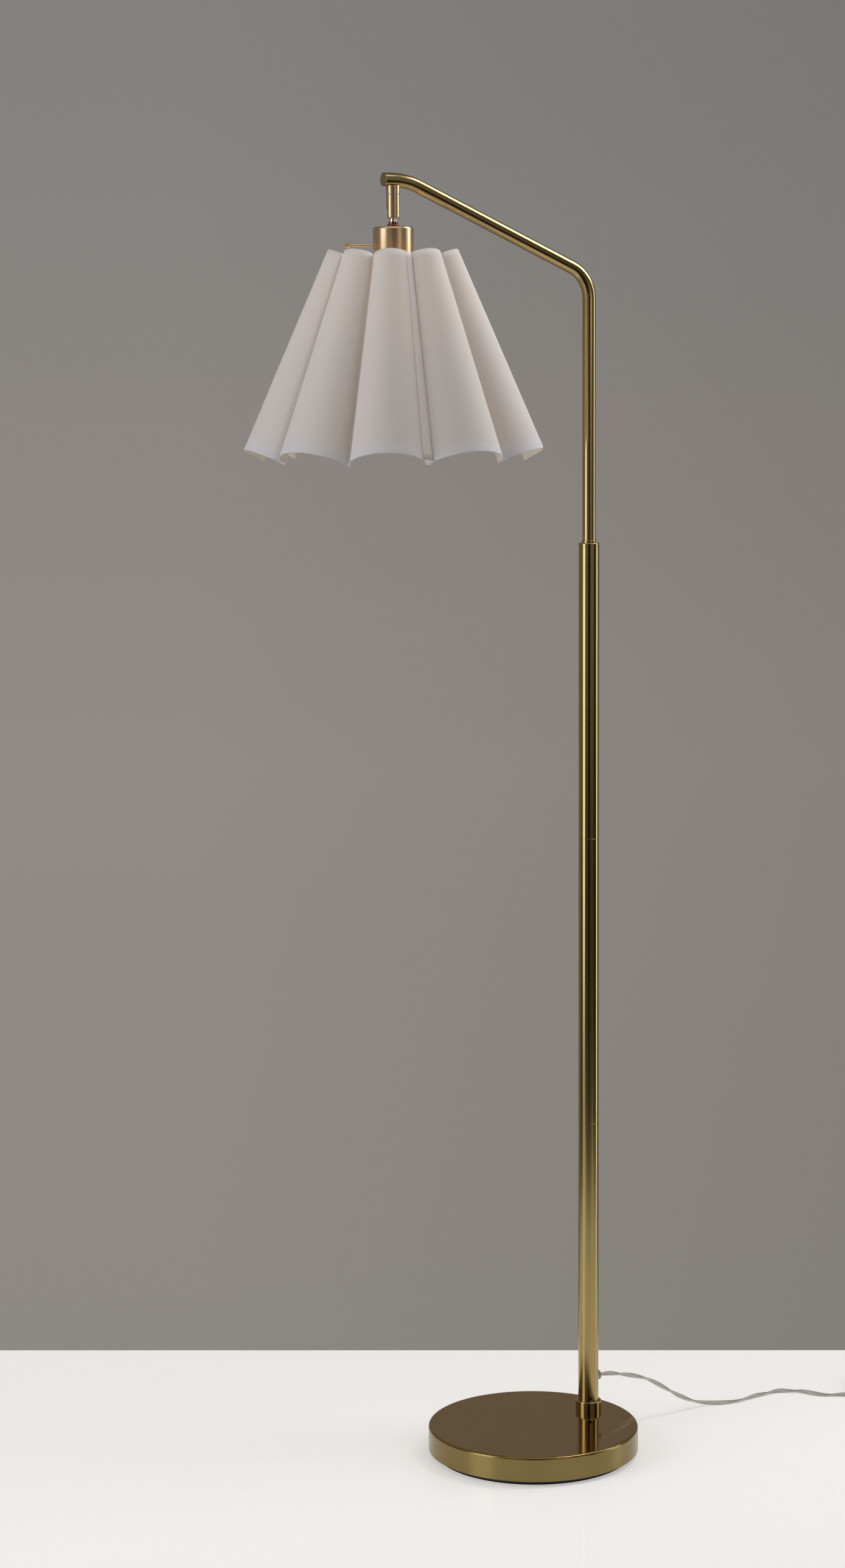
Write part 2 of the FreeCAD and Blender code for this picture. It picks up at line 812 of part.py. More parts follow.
def arm_end_cap():
    cap = turned(
        "arm_end_cap",
        [
            ("0", "arm_reach"),
            ("arm_diameter / 2", "arm_reach"),
            ("arm_diameter / 2", "arm_reach - end_cap_height"),
            ("arm_bore_radius - fit_gap", "arm_reach - end_cap_height"),
            ("arm_bore_radius - fit_gap", "arm_reach - end_cap_height - end_cap_spigot"),
            ("0", "arm_reach - end_cap_height - end_cap_spigot"),
        ],
        {1: "end_cap_edge_radius"},
    )
    node(lay(cap, 180, Vector(0, 0, 0), mm("arm_axis")), "arm_end_cap")


# ---------------------------------------------------------------- swivel


def under_arm_tip(thing):
    return place(thing, x="-head_reach")


def head_spot(angle, distance):
    """A point at this distance from the head's axis."""
    return Vector(-mm("head_reach"), 0, 0) + direction(angle) * distance


def swivel_on_arm():
    blank = sleeve(
        "swivel_collar_blank",
        "arm_diameter / 2",
        "nipple_diameter / 2 + fit_gap",
        "saddle_bottom",
        "saddle_top",
    )
    envelope = shaped("arm_outside", arm_envelope(mm("arm_diameter") / 2 + mm("fit_gap") / 2))
    node(cut("swivel_collar", under_arm_tip(blank), envelope), "swivel_collar")

    nipple = turned(
        "swivel_nipple",
        [
            ("nipple_bore / 2", "nipple_bottom"),
            ("nipple_head_diameter / 2", "nipple_bottom"),
            ("nipple_head_diameter / 2", "nipple_head_top"),
            ("nipple_diameter / 2", "nipple_head_top"),
            ("nipple_diameter / 2", "saddle_nut_top + cup_wall / 2"),
            ("nipple_bore / 2", "saddle_nut_top + cup_wall / 2"),
        ],
    )
    node(under_arm_tip(nipple), "swivel_nipple")

    disc = sleeve(
        "saddle_nut_blank",
        "saddle_nut_diameter / 2",
        "nipple_diameter / 2 + fit_gap / 2",
        "arm_axis - arm_diameter / 2",
        "saddle_nut_top",
    )
    bore = shaped("arm_inside", arm_envelope(mm("arm_bore_radius") - mm("fit_gap")))
    fitted = doc.addObject("Part::Common", "saddle_nut_fitted")
    fitted.Base = under_arm_tip(disc)
    fitted.Tool = bore
    node(fitted, "saddle_nut")


def swivel_housing():
    blank = turned(
        "swivel_housing_blank",
        [
            ("swivel_mouth / 2", "swivel_bottom"),
            ("swivel_diameter / 2", "swivel_bottom"),
            ("swivel_diameter / 2", "swivel_top"),
            ("nipple_diameter / 2 + shaft_gap", "swivel_top"),
            ("nipple_diameter / 2 + shaft_gap", "crown_bottom"),
            ("cavity_radius", "crown_bottom"),
            ("cavity_radius", "ball_level"),
            ("swivel_mouth / 2", "ball_level"),
        ],
        {1: "swivel_edge_radius", 2: "swivel_gap / 2"},
    )
    under_arm_tip(blank)
    seat = primitive("Sphere", "ball_cavity", Radius="cavity_radius")
    place(seat, x="-head_reach", z="ball_level")
    height = "slot_top - swivel_bottom + swivel_gap"
    slot = primitive("Box", "neck_slot", Length="swivel_diameter", Width="slot_width", Height=height)
    corner = head_spot(mm("head_angle") - 90, mm("slot_width") / 2)
    corner.z = mm("swivel_bottom") - mm("swivel_gap")
    slot.Placement = Placement(corner, Rotation(Vector(0, 0, 1), mm("head_angle")))
    node(cut("swivel_housing", blank, seat, slot), "swivel_housing")

    ring = sleeve(
        "ball_seat_blank",
        "cavity_radius - shaft_gap",
        "ball_diameter * 0.29",
        "slot_top + shaft_gap",
        "nipple_bottom - running_gap",
    )
    ball = primitive("Sphere", "ball_room", Radius="ball_diameter / 2 + shaft_gap")
    place(ball, x="-head_reach", z="ball_level")
    node(cut("ball_seat", under_arm_tip(ring), ball), "ball_seat")


# ---------------------------------------------------------------- head


def ball_stud():
    ball = primitive("Sphere", "stud_ball", Radius="ball_diameter / 2")
    place(ball, x="-head_reach", z="ball_level")
    neck = turned(
        "stud_neck",
        [
            ("0", "socket_top"),
            ("stud_diameter / 2", "socket_top"),
            ("stud_diameter / 2", "cup_top"),
            ("neck_diameter / 2", "cup_top"),
            ("neck_diameter / 2", "ball_level - slim_neck_length"),
            ("slim_neck_diameter / 2", "ball_level - slim_neck_length"),
            ("slim_neck_diameter / 2", "ball_level"),
            ("0", "ball_level"),
        ],
    )
    bore = primitive("Cylinder", "stud_way", Radius="stud_bore / 2", Height="2 * neck_length + ball_diameter")
    place(bore, x="-head_reach", z="socket_top - stud_nut_height")
    whole = joined("ball_stud", ball, under_arm_tip(neck))
    node(cut("ball_stud", whole, bore), "ball_stud")
    ring = turned(
        "stud_ring",
        [
            ("stud_diameter / 2 + fit_gap / 2", "cup_top"),
            ("bead_diameter / 2", "cup_top"),
            ("bead_diameter / 2", "bead_top"),
            ("tier_diameter / 2", "bead_top"),
            ("tier_diameter / 2", "tier_top"),
            ("stud_diameter / 2 + fit_gap / 2", "tier_top"),
        ],
        {1: "bead_edge_radius", 2: "bead_edge_radius", 4: "bead_edge_radius / 2"},
    )
    node(under_arm_tip(ring), "stud_ring")


def socket_cup():
    blank = turned(
        "socket_cup_blank",
        [
            ("stud_diameter / 2 + fit_gap", "cup_top - cup_wall"),
            ("cup_diameter / 2 - cup_wall", "cup_top - cup_wall"),
            ("cup_diameter / 2 - cup_wall", "cup_bottom"),
            ("cup_diameter / 2", "cup_bottom"),
            ("cup_diameter / 2", "cup_top"),
            ("stud_diameter / 2 + fit_gap", "cup_top"),
        ],
        {4: "cup_edge_radius", 1: "cup_edge_radius - cup_wall"},
    )
    rod_radius = "switch_rod_diameter / 2 + running_gap"
    rod_hole = primitive("Cylinder", "cup_rod_hole", Radius=rod_radius, Height="cup_diameter")
    lay(rod_hole, mm("head_angle"), head_spot(0, 0), mm("switch_level"))
    screw_radius = "cup_screw_diameter / 2 + fit_gap"
    screw_hole = primitive("Cylinder", "cup_screw_hole", Radius=screw_radius, Height="3 * cup_wall")
    spot = head_spot(mm("head_angle") + 180, mm("cup_screw_reach"))
    screw_hole.Placement = Placement(Vector(spot.x, spot.y, mm("cup_top") - 2 * mm("cup_wall")), Rotation())
    node(cut("socket_cup", under_arm_tip(blank), rod_hole, screw_hole), "socket_cup")

    screw = turned(
        "cup_screw",
        [
            ("0", "socket_top"),
            ("cup_screw_diameter / 2", "socket_top"),
            ("cup_screw_diameter / 2", "cup_top"),
            ("cup_screw_head / 2", "cup_top"),
            ("cup_screw_head / 2", "cup_top + cup_screw_head_height"),
            ("0", "cup_top + cup_screw_head_height"),
        ],
        {4: "cup_screw_head_height * 0.8"},
    )
    screw.Placement = Placement(spot, Rotation())
    node(screw, "cup_screw")


def bridge_spots():
    """Where the two bridge screws stand, square to the switch."""
    return [head_spot(mm("head_angle") + side, mm("bridge_screw_reach")) for side in (90, -90)]


def screw_way(name, screw, depth, spot, bottom):
    """The hole for an upright screw, to be cut from what it goes through."""
    way = primitive("Cylinder", name, Radius=f"{screw}_diameter / 2 + fit_gap / 2", Height=depth)
    way.Placement = Placement(Vector(spot.x, spot.y, bottom), Rotation())
    return way


def socket_bridge():
    hole = "stud_diameter / 2 + fit_gap / 2"
    nut = hexagon("stud_nut_blank", "nut_flats", "stud_nut_bottom", "stud_nut_height")
    bore = primitive("Cylinder", "stud_nut_bore", Radius=hole, Height="stud_nut_height")
    place(bore, z="stud_nut_bottom")
    node(cut("stud_nut", under_arm_tip(nut), under_arm_tip(bore)), "stud_nut")

    plate = sleeve("socket_bridge_blank", "bridge_diameter / 2", hole, "socket_top", "stud_nut_bottom")
    cup_screw_spot = head_spot(mm("head_angle") + 180, mm("cup_screw_reach"))
    holes = [screw_way("bridge_cup_hole", "cup_screw", "bridge_height", cup_screw_spot, mm("socket_top"))]
    screws = []
    for number, spot in enumerate(bridge_spots(), 1):
        name = f"bridge_hole_{number}"
        holes.append(screw_way(name, "bridge_screw", "bridge_height", spot, mm("socket_top")))
        screw = turned(
            f"bridge_screw_{number}",
            [
                ("0", "stud_nut_bottom - bridge_screw_length"),
                ("bridge_screw_diameter / 2", "stud_nut_bottom - bridge_screw_length"),
                ("bridge_screw_diameter / 2", "stud_nut_bottom"),
                ("bridge_screw_head / 2", "stud_nut_bottom"),
                ("bridge_screw_head / 2", "stud_nut_bottom + bridge_screw_head_height"),
                ("0", "stud_nut_bottom + bridge_screw_head_height"),
            ],
            {4: "bridge_screw_head_height / 2"},
        )
        screw.Placement = Placement(spot, Rotation())
        screws.append(screw)
    node(cut("socket_bridge", under_arm_tip(plate), *holes), "socket_bridge")
    pair = doc.addObject("Part::Compound", "bridge_screws")
    pair.Links = screws
    node(pair, "bridge_screws")


def socket():
    bore = "screw_shell_diameter / 2 + fit_gap"
    blank = turned(
        "socket_body_blank",
        [
            ("skirt_bore / 2", "socket_bottom"),
            ("skirt_diameter / 2", "socket_bottom"),
            ("skirt_diameter / 2", "skirt_top"),
            ("socket_diameter / 2", "skirt_top"),
            ("socket_diameter / 2", "socket_top"),
            ("stud_bore / 2", "socket_top"),
            ("stud_bore / 2", "switch_level + switch_rod_diameter"),
            ("0", "switch_level + switch_rod_diameter"),
            ("0", "socket_ceiling"),
            (bore, "socket_ceiling"),
            (bore, "screw_shell_bottom - fit_gap"),
            ("skirt_bore / 2", "screw_shell_bottom - fit_gap"),
        ],
    )
    rod_radius = "switch_rod_diameter / 2 + shaft_gap"
    rod_way = primitive("Cylinder", "socket_rod_way", Radius=rod_radius, Height="cup_diameter")
    rod_start = head_spot(mm("head_angle"), mm("switch_rod_start") - mm("switch_rod_clearance"))
    lay(rod_way, mm("head_angle"), rod_start, mm("switch_level"))
    ways = [rod_way]
    tips = mm("stud_nut_bottom") - mm("bridge_screw_length")
    for number, spot in enumerate(bridge_spots(), 1):
        name = f"socket_hole_{number}"
        ways.append(screw_way(name, "bridge_screw", "bridge_screw_length", spot, tips))
    node(cut("socket_body", under_arm_tip(blank), *ways), "socket_body")

    outside = "screw_shell_diameter / 2"
    inside = outside + " - screw_shell_wall"
    shell = sleeve("screw_shell", outside, inside, "screw_shell_bottom", "screw_shell_top")
    node(under_arm_tip(shell), "screw_shell")
    edge = "contact_diameter / 2"
    low, high = "contact_bottom", "socket_ceiling"
    contact = turned(
        "centre_contact",
        [("0", low), (edge, low), (edge, high), ("0", high)],
        {1: "contact_height / 2"},
    )
    node(under_arm_tip(contact), "centre_contact")


def switch():
    rod = turned(
        "switch_stem",
        [
            ("0", "switch_rod_start"),
            ("switch_rod_diameter / 2", "switch_rod_start"),
            ("switch_rod_diameter / 2", "switch_reach - knob_length * 0.4"),
            ("0", "switch_reach - knob_length * 0.4"),
        ],
    )
    node(lay(rod, mm("head_angle"), head_spot(0, 0), mm("switch_level")), "switch_stem")
    bore = "switch_rod_diameter / 2 + fit_gap / 2"
    knob = turned(
        "switch_knob",
        [
            (bore, "switch_reach - knob_length"),
            ("knob_diameter / 2", "switch_reach - knob_length"),
            ("knob_diameter / 2", "switch_reach"),
            ("0", "switch_reach"),
            ("0", "switch_reach - knob_length * 0.4 + fit_gap"),
            (bore, "switch_reach - knob_length * 0.4 + fit_gap"),
        ],
        {2: "knob_edge_radius", 1: "knob_edge_radius / 4"},
    )
    node(lay(knob, mm("head_angle"), head_spot(0, 0), mm("switch_level")), "switch_knob")


def bulb():
    cap = turned(
        "bulb_cap",
        [
            ("bulb_cap_diameter / 2 - bulb_cap_wall", "bulb_cap_bottom"),
            ("bulb_cap_diameter / 2", "bulb_cap_bottom"),
            ("bulb_cap_diameter / 2", "bulb_cap_top"),
            ("bulb_cap_diameter / 2 - bulb_cap_wall", "bulb_cap_top"),
        ],
    )
    node(under_arm_tip(cap), "bulb_cap")
    tip = turned(
        "bulb_tip",
        [
            ("0", "bulb_cap_top"),
            ("bulb_cap_diameter / 2", "bulb_cap_top"),
            ("bulb_tip_diameter / 2", "bulb_top"),
            ("0", "bulb_top"),
        ],
    )
    node(under_arm_tip(tip), "bulb_tip")

    # The shoulder is the cone that touches the globe all round. The neck above it goes into the cap.
    up = mm("bulb_cap_bottom") - mm("bulb_glass") - mm("bulb_centre")
    neck_length = mm("bulb_cap_length") / 3
    neck = mm("bulb_neck_diameter") / 2
    solids = []
    for globe in (mm("bulb_diameter") / 2, mm("bulb_diameter") / 2 - mm("bulb_glass")):
        end = neck - (mm("bulb_diameter") / 2 - globe)
        lean = math.atan2(up, end) - math.acos(globe / math.hypot(end, up))
        touch_radius = globe * math.cos(lean)
        touch_height = globe * math.sin(lean)
        centre = Vector(-mm("head_reach"), 0, mm("bulb_centre"))
        ball = Part.makeSphere(globe, centre)
        cone = Part.makeCone(touch_radius, end, up - touch_height, centre + Vector(0, 0, touch_height))
        tube = Part.makeCylinder(end, neck_length, centre + Vector(0, 0, up))
        solids.append(ball.fuse([cone, tube]))
    node(shaped("bulb_globe", solids[0].cut(solids[1])), "bulb_globe")


# ---------------------------------------------------------------- shade


def valley_angle(end, valley):
    """The valleys are counted from the switch's side. The seam's valley runs a little askew."""
    angle = mm("head_angle") + mm("shade_angle_" + end) + 360 * valley / mm("lobe_count")
    if valley % mm("lobe_count") == mm("seam_valley"):
        angle += mm("seam_angle_" + end)
    return angle


def rim_point(end, angle, radius, across):
    """A point of a rim at this radius, offset across that direction. The rim hangs lower inwards."""
    peak = mm(f"shade_{end}_diameter") / 2
    along = direction(angle)
    side = Vector(-along.y, along.x, 0)
    level = mm("shade_" + end) - mm("rim_slope") * (peak - radius)
    return Vector(-mm("head_reach"), 0, level) + along * radius + side * across


def fold_numbers(end, valley):
    kind = "seam" if valley == mm("seam_valley") else "fold"
    return mm(f"{kind}_mouth_{end}") / 2, mm(f"{kind}_end_{end}") / 2


def shade_outline(end, wall):
    """The rim's edges, one lobe and one fold after another, wall inside the outer surface."""
    peak = mm(f"shade_{end}_diameter") / 2
    crease = peak - mm("crease_depth_" + end)
    fold = crease - mm("fold_depth_" + end)
    pitch = math.radians(180 / mm("lobe_count"))
    feet = []
    for valley in range(int(mm("lobe_count"))):
        mouth, end_half = fold_numbers(end, valley)
        # Inward normals of the lobe at its foot and of the fold's side, in the valley's own axes.
        half_chord = crease * math.sin(pitch) - mouth * math.cos(pitch)
        rise = peak - crease * math.cos(pitch) - mouth * math.sin(pitch)
        foot_angle = 2 * math.atan2(rise, half_chord) - pitch
        lobe_normal = (math.sin(foot_angle), -math.cos(foot_angle))
        depth = crease - fold
        side_length = math.hypot(depth, mouth - end_half)
        side_normal = (depth / side_length, -(mouth - end_half) / side_length)
        mouth_shift = meet(lobe_normal, side_normal)
        end_shift = meet(side_normal, (0, -1))
        outer = (mouth + wall * mouth_shift[0], crease + wall * mouth_shift[1])
        inner = (end_half + wall * end_shift[0], fold + wall * end_shift[1])
        feet.append((outer, inner))
    edges = []
    for valley, (outer, inner) in enumerate(feet):
        after = (valley + 1) % len(feet)
        next_outer, next_inner = feet[after]
        angle = valley_angle(end, valley)
        next_angle = valley_angle(end, valley + 1)
        start = rim_point(end, angle, outer[1], outer[0])
        top = rim_point(end, (angle + next_angle) / 2, peak - wall, 0)
        finish = rim_point(end, next_angle, next_outer[1], -next_outer[0])
        fold_in = rim_point(end, next_angle, next_inner[1], -next_inner[0])
        fold_out = rim_point(end, next_angle, next_inner[1], next_inner[0])
        next_start = rim_point(end, next_angle, next_outer[1], next_outer[0])
        edges.append(Part.Arc(start, top, finish).toShape())
        edges.append(Part.LineSegment(finish, fold_in).toShape())
        edges.append(Part.LineSegment(fold_in, fold_out).toShape())
        edges.append(Part.LineSegment(fold_out, next_start).toShape())
    return edges


def meet(first, second):
    """The shift that lies one unit inside two sides with these inward normals."""
    cross = first[0] * second[1] - first[1] * second[0]
    return ((second[1] - first[1]) / cross, (first[0] - second[0]) / cross)


def shade():
    wall = mm("shade_wall")
    rims = {}
    for end in ("top", "bottom"):
        for depth in (0.0, wall):
            rims[end, depth] = shade_outline(end, depth)
    faces = []
    for one, other in (
        (("bottom", 0.0), ("top", 0.0)),
        (("bottom", wall), ("top", wall)),
        (("bottom", 0.0), ("bottom", wall)),
        (("top", 0.0), ("top", wall)),
    ):
        for first, second in zip(rims[one], rims[other]):
            faces.append(Part.makeRuledSurface(first, second))
    shell = Part.makeShell(faces)
    shell.sewShape()
    solid = Part.makeSolid(shell)
    if solid.Volume < 0:
        solid.reverse()
    node(shaped("shade", solid), "shade")


def seam_strip():
    """The flat seam that closes one fold's mouth."""
    wires = []
    for end in ("bottom", "top"):
        peak = mm(f"shade_{end}_diameter") / 2
        crease = peak - mm("crease_depth_" + end)
        mouth, end_half = fold_numbers(end, mm("seam_valley"))
        depth = mm("seam_thickness")
        narrowing = (mouth - end_half) * (depth + mm("fit_gap")) / mm("fold_depth_" + end)
        outer = mouth - mm("fit_gap")
        inner = mouth - narrowing - mm("fit_gap")
        front = crease - mm("fit_gap")
        back = crease - depth
        spots = [(front, -outer), (front, outer), (back, inner), (back, -inner)]
        angle = valley_angle(end, mm("seam_valley"))
        points = [rim_point(end, angle, radius, across) for radius, across in spots]
        wires.append(Part.makePolygon(points + points[:1]))
    node(shaped("seam_strip", Part.makeLoft(wires, True, True)), "seam_strip")


def fold_radius(level):
    """How far the inside of the folds is from the head's axis at this height."""
    radii = {}
    levels = {}
    for end in ("top", "bottom"):
        peak = mm(f"shade_{end}_diameter") / 2
        outside = peak - mm("crease_depth_" + end) - mm("fold_depth_" + end)
        radii[end] = outside - mm("shade_wall")
        levels[end] = mm("shade_" + end) - mm("rim_slope") * (peak - outside)
    share = (level - levels["bottom"]) / (levels["top"] - levels["bottom"])
    return radii["bottom"] + share * (radii["top"] - radii["bottom"])


def shade_frame():
    wire = mm("ring_wire") / 2
    rings = {
        "shade_top_ring": mm("shade_top") - mm("top_ring_below_rim"),
        "shade_bottom_ring": mm("shade_bottom") + mm("bottom_ring_rise"),
    }
    for name, level in rings.items():
        radius = fold_radius(level + wire) - wire - mm("fit_gap")
        ring = primitive("Torus", name)
        ring.Radius1 = radius
        ring.Radius2 = wire
        ring.Placement = Placement(Vector(-mm("head_reach"), 0, level), Rotation())
        node(ring, name)
    top_level = rings["shade_top_ring"]
    ring_radius = fold_radius(top_level + wire) - wire - mm("fit_gap")
    hub = sleeve(
        "fitter_hub", "hub_diameter / 2", "skirt_diameter / 2 + fit_gap", "hub_bottom", "upper_nut_bottom"
    )
    under_arm_tip(hub)
    arms = []
    for number in range(int(mm("fitter_arm_count"))):
        angle = mm("head_angle") + 60 + 360 * number / mm("fitter_arm_count")
        start = head_spot(angle, mm("hub_diameter") / 2 - mm("fitter_arm_wire") / 2)
        start.z = mm("hub_bottom") + mm("hub_height") / 2
        finish = head_spot(angle, ring_radius)
        finish.z = top_level
        way = finish - start
        length = way.Length - wire - mm("fit_gap")
        arm = Part.makeCylinder(mm("fitter_arm_wire") / 2, length, start, way)
        arms.append(shaped(f"fitter_arm_{number + 1}", arm))
    node(joined("shade_fitter", hub, *arms), "shade_fitter")
    hole = "skirt_diameter / 2 + fit_gap"
    outer = "shade_nut_diameter / 2"
    upper = sleeve("shade_nut_upper", outer, hole, "upper_nut_bottom", "skirt_top", {1: "fit_gap"})
    lower = sleeve("shade_nut_lower", outer, hole, "lower_nut_bottom", "hub_bottom", {1: "hub_height / 4"})
    node(under_arm_tip(upper), "shade_nut_upper")
    node(under_arm_tip(lower), "shade_nut_lower")


# ---------------------------------------------------------------- lead


def grommet():
    blank = turned(
        "cord_grommet_blank",
        [
            ("inner_lead_diameter / 2 + fit_gap", "pole_bore_radius - grommet_barb"),
            ("grommet_body / 2", "pole_bore_radius - grommet_barb"),
            ("grommet_body / 2", "pole_diameter / 2 - grommet_thickness"),
            ("grommet_flange / 2", "pole_diameter / 2 - grommet_thickness"),
            ("grommet_flange / 2", "pole_diameter / 2 + grommet_thickness"),
            ("inner_lead_diameter / 2 + fit_gap", "pole_diameter / 2 + grommet_thickness"),
        ],
        {4: "grommet_thickness / 3"},
    )
    lay(blank, 0, Vector(0, 0, 0), mm("exit_level"))
    # The flange is hollowed to sit on the round pole; the body passes through the hole.
    wall = sleeve(
        "pole_envelope",
        "pole_diameter / 2 + fit_gap / 2",
        "pole_bore_radius - 2 * grommet_barb",
        "pole_foot",
        "lower_joint",
    )
    way = primitive("Cylinder", "grommet_way", Radius="grommet_body / 2", Height="pole_diameter")
    lay(way, 0, Vector(0, 0, 0), mm("exit_level"))
    around = cut("grommet_room", wall, way)
    node(cut("cord_grommet", blank, around), "cord_grommet")


def inner_leads():
    radius = mm("inner_lead_diameter") / 2
    exit_face = mm("pole_diameter") / 2 + mm("grommet_thickness")
    bend = mm("inner_lead_bend")
    gap = mm("running_gap")
    meeting = mm("arm_foot") + bend
    pole_points = [
        Vector(exit_face, 0, mm("exit_level")),
        Vector(0, 0, mm("exit_level")),
        Vector(0, 0, meeting - gap),
    ]
    path, _ = rounded_path(pole_points, [bend])
    node(shaped("pole_lead", tube_along(path, radius)), "pole_lead")

    high = mm("arm_axis") + mm("arm_bore_radius") - radius - 2
    arm_points = [
        Vector(0, 0, meeting + gap),
        Vector(0, 0, mm("arm_corner")),
        Vector(-mm("slope_run") - 3, 0, high),
        Vector(-mm("head_reach"), 0, high),
        Vector(-mm("head_reach"), 0, mm("nipple_bottom") + 1),
    ]
    path, _ = rounded_path(arm_points, [mm("lower_bend_radius"), 5 * bend, bend - 0.5])
    node(shaped("arm_lead", tube_along(path, radius)), "arm_lead")

    bottom = mm("switch_level") + mm("switch_rod_diameter") + gap
    top = mm("ball_level") + mm("ball_diameter") / 4
    lead = Part.makeCylinder(radius, top - bottom, Vector(-mm("head_reach"), 0, bottom))
    node(shaped("head_lead", lead), "head_lead")


def coil_point(turns):
    """The coil's centreline after this many turns: in, up a layer, and out again."""
    rows = mm("coil_turns")
    pitch = mm("coil_pitch")
    angle = math.radians(mm("coil_start_angle")) + 2 * math.pi * turns
    inner = mm("coil_radius") - pitch * rows
    level = mm("coil_level")
    if turns <= rows:
        radius = mm("coil_radius") - pitch * turns
    elif turns <= rows + 0.5:
        climb = (turns - rows) * 2
        radius = inner - pitch / (2 * math.pi) * math.sin(math.pi * climb)
        level += mm("coil_layer_step") * (climb - math.sin(2 * math.pi * climb) / (2 * math.pi))
    else:
        radius = inner + pitch * (turns - rows - 0.5)
        level += mm("coil_layer_step")
    centre = Vector(mm("coil_centre_x"), mm("coil_centre_y"), level)
    return centre + direction(math.degrees(angle)) * radius


def coil_heading(turns):
    step = 1e-4
    whole = 2 * mm("coil_turns") + 0.5
    low, high = max(turns - step, 0), min(turns + step, whole)
    return (coil_point(high) - coil_point(low)).normalize()


def biarc(start, heading, finish, last_heading):
    """Two arcs that join two points and are tangent to both headings."""
    across = finish - start
    total = heading + last_heading
    bend = 2 * (1 - heading.dot(last_heading))
    reach = (math.sqrt(across.dot(total) ** 2 + bend * across.dot(across)) - across.dot(total)) / bend
    middle = (start + finish + (heading - last_heading) * reach) * 0.5
    arcs = []
    for one, corner, other in (
        (start, start + heading * reach, middle),
        (middle, finish - last_heading * reach, finish),
    ):
        weight = (other - one).Length / 2 / reach
        crown = (one + other + corner * (2 * weight)) * (1 / (2 + 2 * weight))
        arcs.append(Part.Arc(one, crown, other).toShape())
    return arcs


def coil_ends():
    """Where the coil's straight ends start and finish."""
    whole = 2 * mm("coil_turns") + 0.5
    first = coil_point(0) - coil_heading(0) * mm("cord_diameter")
    last = coil_point(whole) + coil_heading(whole) * mm("coil_tail")
    return first, last, coil_heading(whole)


def cord():
    radius = mm("cord_diameter") / 2
    first, last, _ = coil_ends()
    lead_in = first - coil_heading(0) * mm("coil_lead_in")
    exit_face = Vector(mm("pole_diameter") / 2 + mm("grommet_thickness"), 0, mm("exit_level"))
    points = [exit_face] + [Vector(*point) for point in CORD_ROUTE] + [lead_in, first]
    path, radii = rounded_path(points)
    tube = tube_along(path, radius)
    runs = [(b - a).Length for a, b in zip(points, points[1:])]
    section = math.pi * radius**2
    print("cord runs:", [round(run, 1) for run in runs])
    print("cord arc radii:", [round(value, 1) for value in radii])
    print("cord volume over section times length:", round(tube.Volume / (section * path.Length), 4))
    node(shaped("cord_run", tube), "cord_run")

    whole = 2 * mm("coil_turns") + 0.5
    quarters = round(whole * 4)
    stations = [whole * i / quarters for i in range(quarters + 1)]
    edges = [Part.LineSegment(first, coil_point(0)).toShape()]
    for one, other in zip(stations, stations[1:]):
        edges += biarc(coil_point(one), coil_heading(one), coil_point(other), coil_heading(other))
    edges.append(Part.LineSegment(coil_point(whole), last).toShape())
    winding = Part.Wire(edges)
    coil = tube_along(winding, radius)
    print("cord length: run and coil", round(path.Length), round(winding.Length))
    print("coil volume over section times length:", round(coil.Volume / (section * winding.Length), 4))
    print("coil's least gap to itself:", round(least_gap(winding, 2 * radius), 2))
    node(shaped("cord_coil", coil), "cord_coil")


def least_gap(path, thickness):
    """The smallest clear distance between stretches that aren't neighbours, on points 2 mm apart."""
    spacing = 2.0
    points = path.discretize(Distance=spacing)
    skip = int(2 * math.pi * 15 / spacing)
    least = 1e9
    for i, point in enumerate(points):
        for other in points[i + skip :]:
            least = min(least, point.distanceToPoint(other))
    return least - thickness


def cord_tie():
    """A flat band round the coil's bundle."""
    thickness, gap = mm("tie_thickness"), mm("tie_gap")
    radius = mm("cord_diameter") / 2
    inner = mm("coil_radius") - mm("coil_pitch") * mm("coil_turns") - radius - 3 * gap
    outer = mm("coil_radius") + radius + gap
    top = mm("coil_level") + mm("coil_layer_step") + radius + gap
    width = mm("tie_width")
    solid = Part.makeBox(outer - inner + 2 * thickness, width, top + thickness)
    hollow = Part.makeBox(outer - inner, width, top - thickness, Vector(thickness, 0, thickness))
    band = solid.cut(hollow)
    tie = shaped("cord_tie", band)
    angle = mm("coil_start_angle") + mm("tie_angle")
    along = direction(angle)
    side = Vector(-along.y, along.x, 0)
    centre = Vector(mm("coil_centre_x"), mm("coil_centre_y"), 0)
    corner = centre + along * (inner - thickness) - side * (width / 2)
    tie.Placement = Placement(corner, Rotation(Vector(0, 0, 1), angle))
    node(tie, "cord_tie")


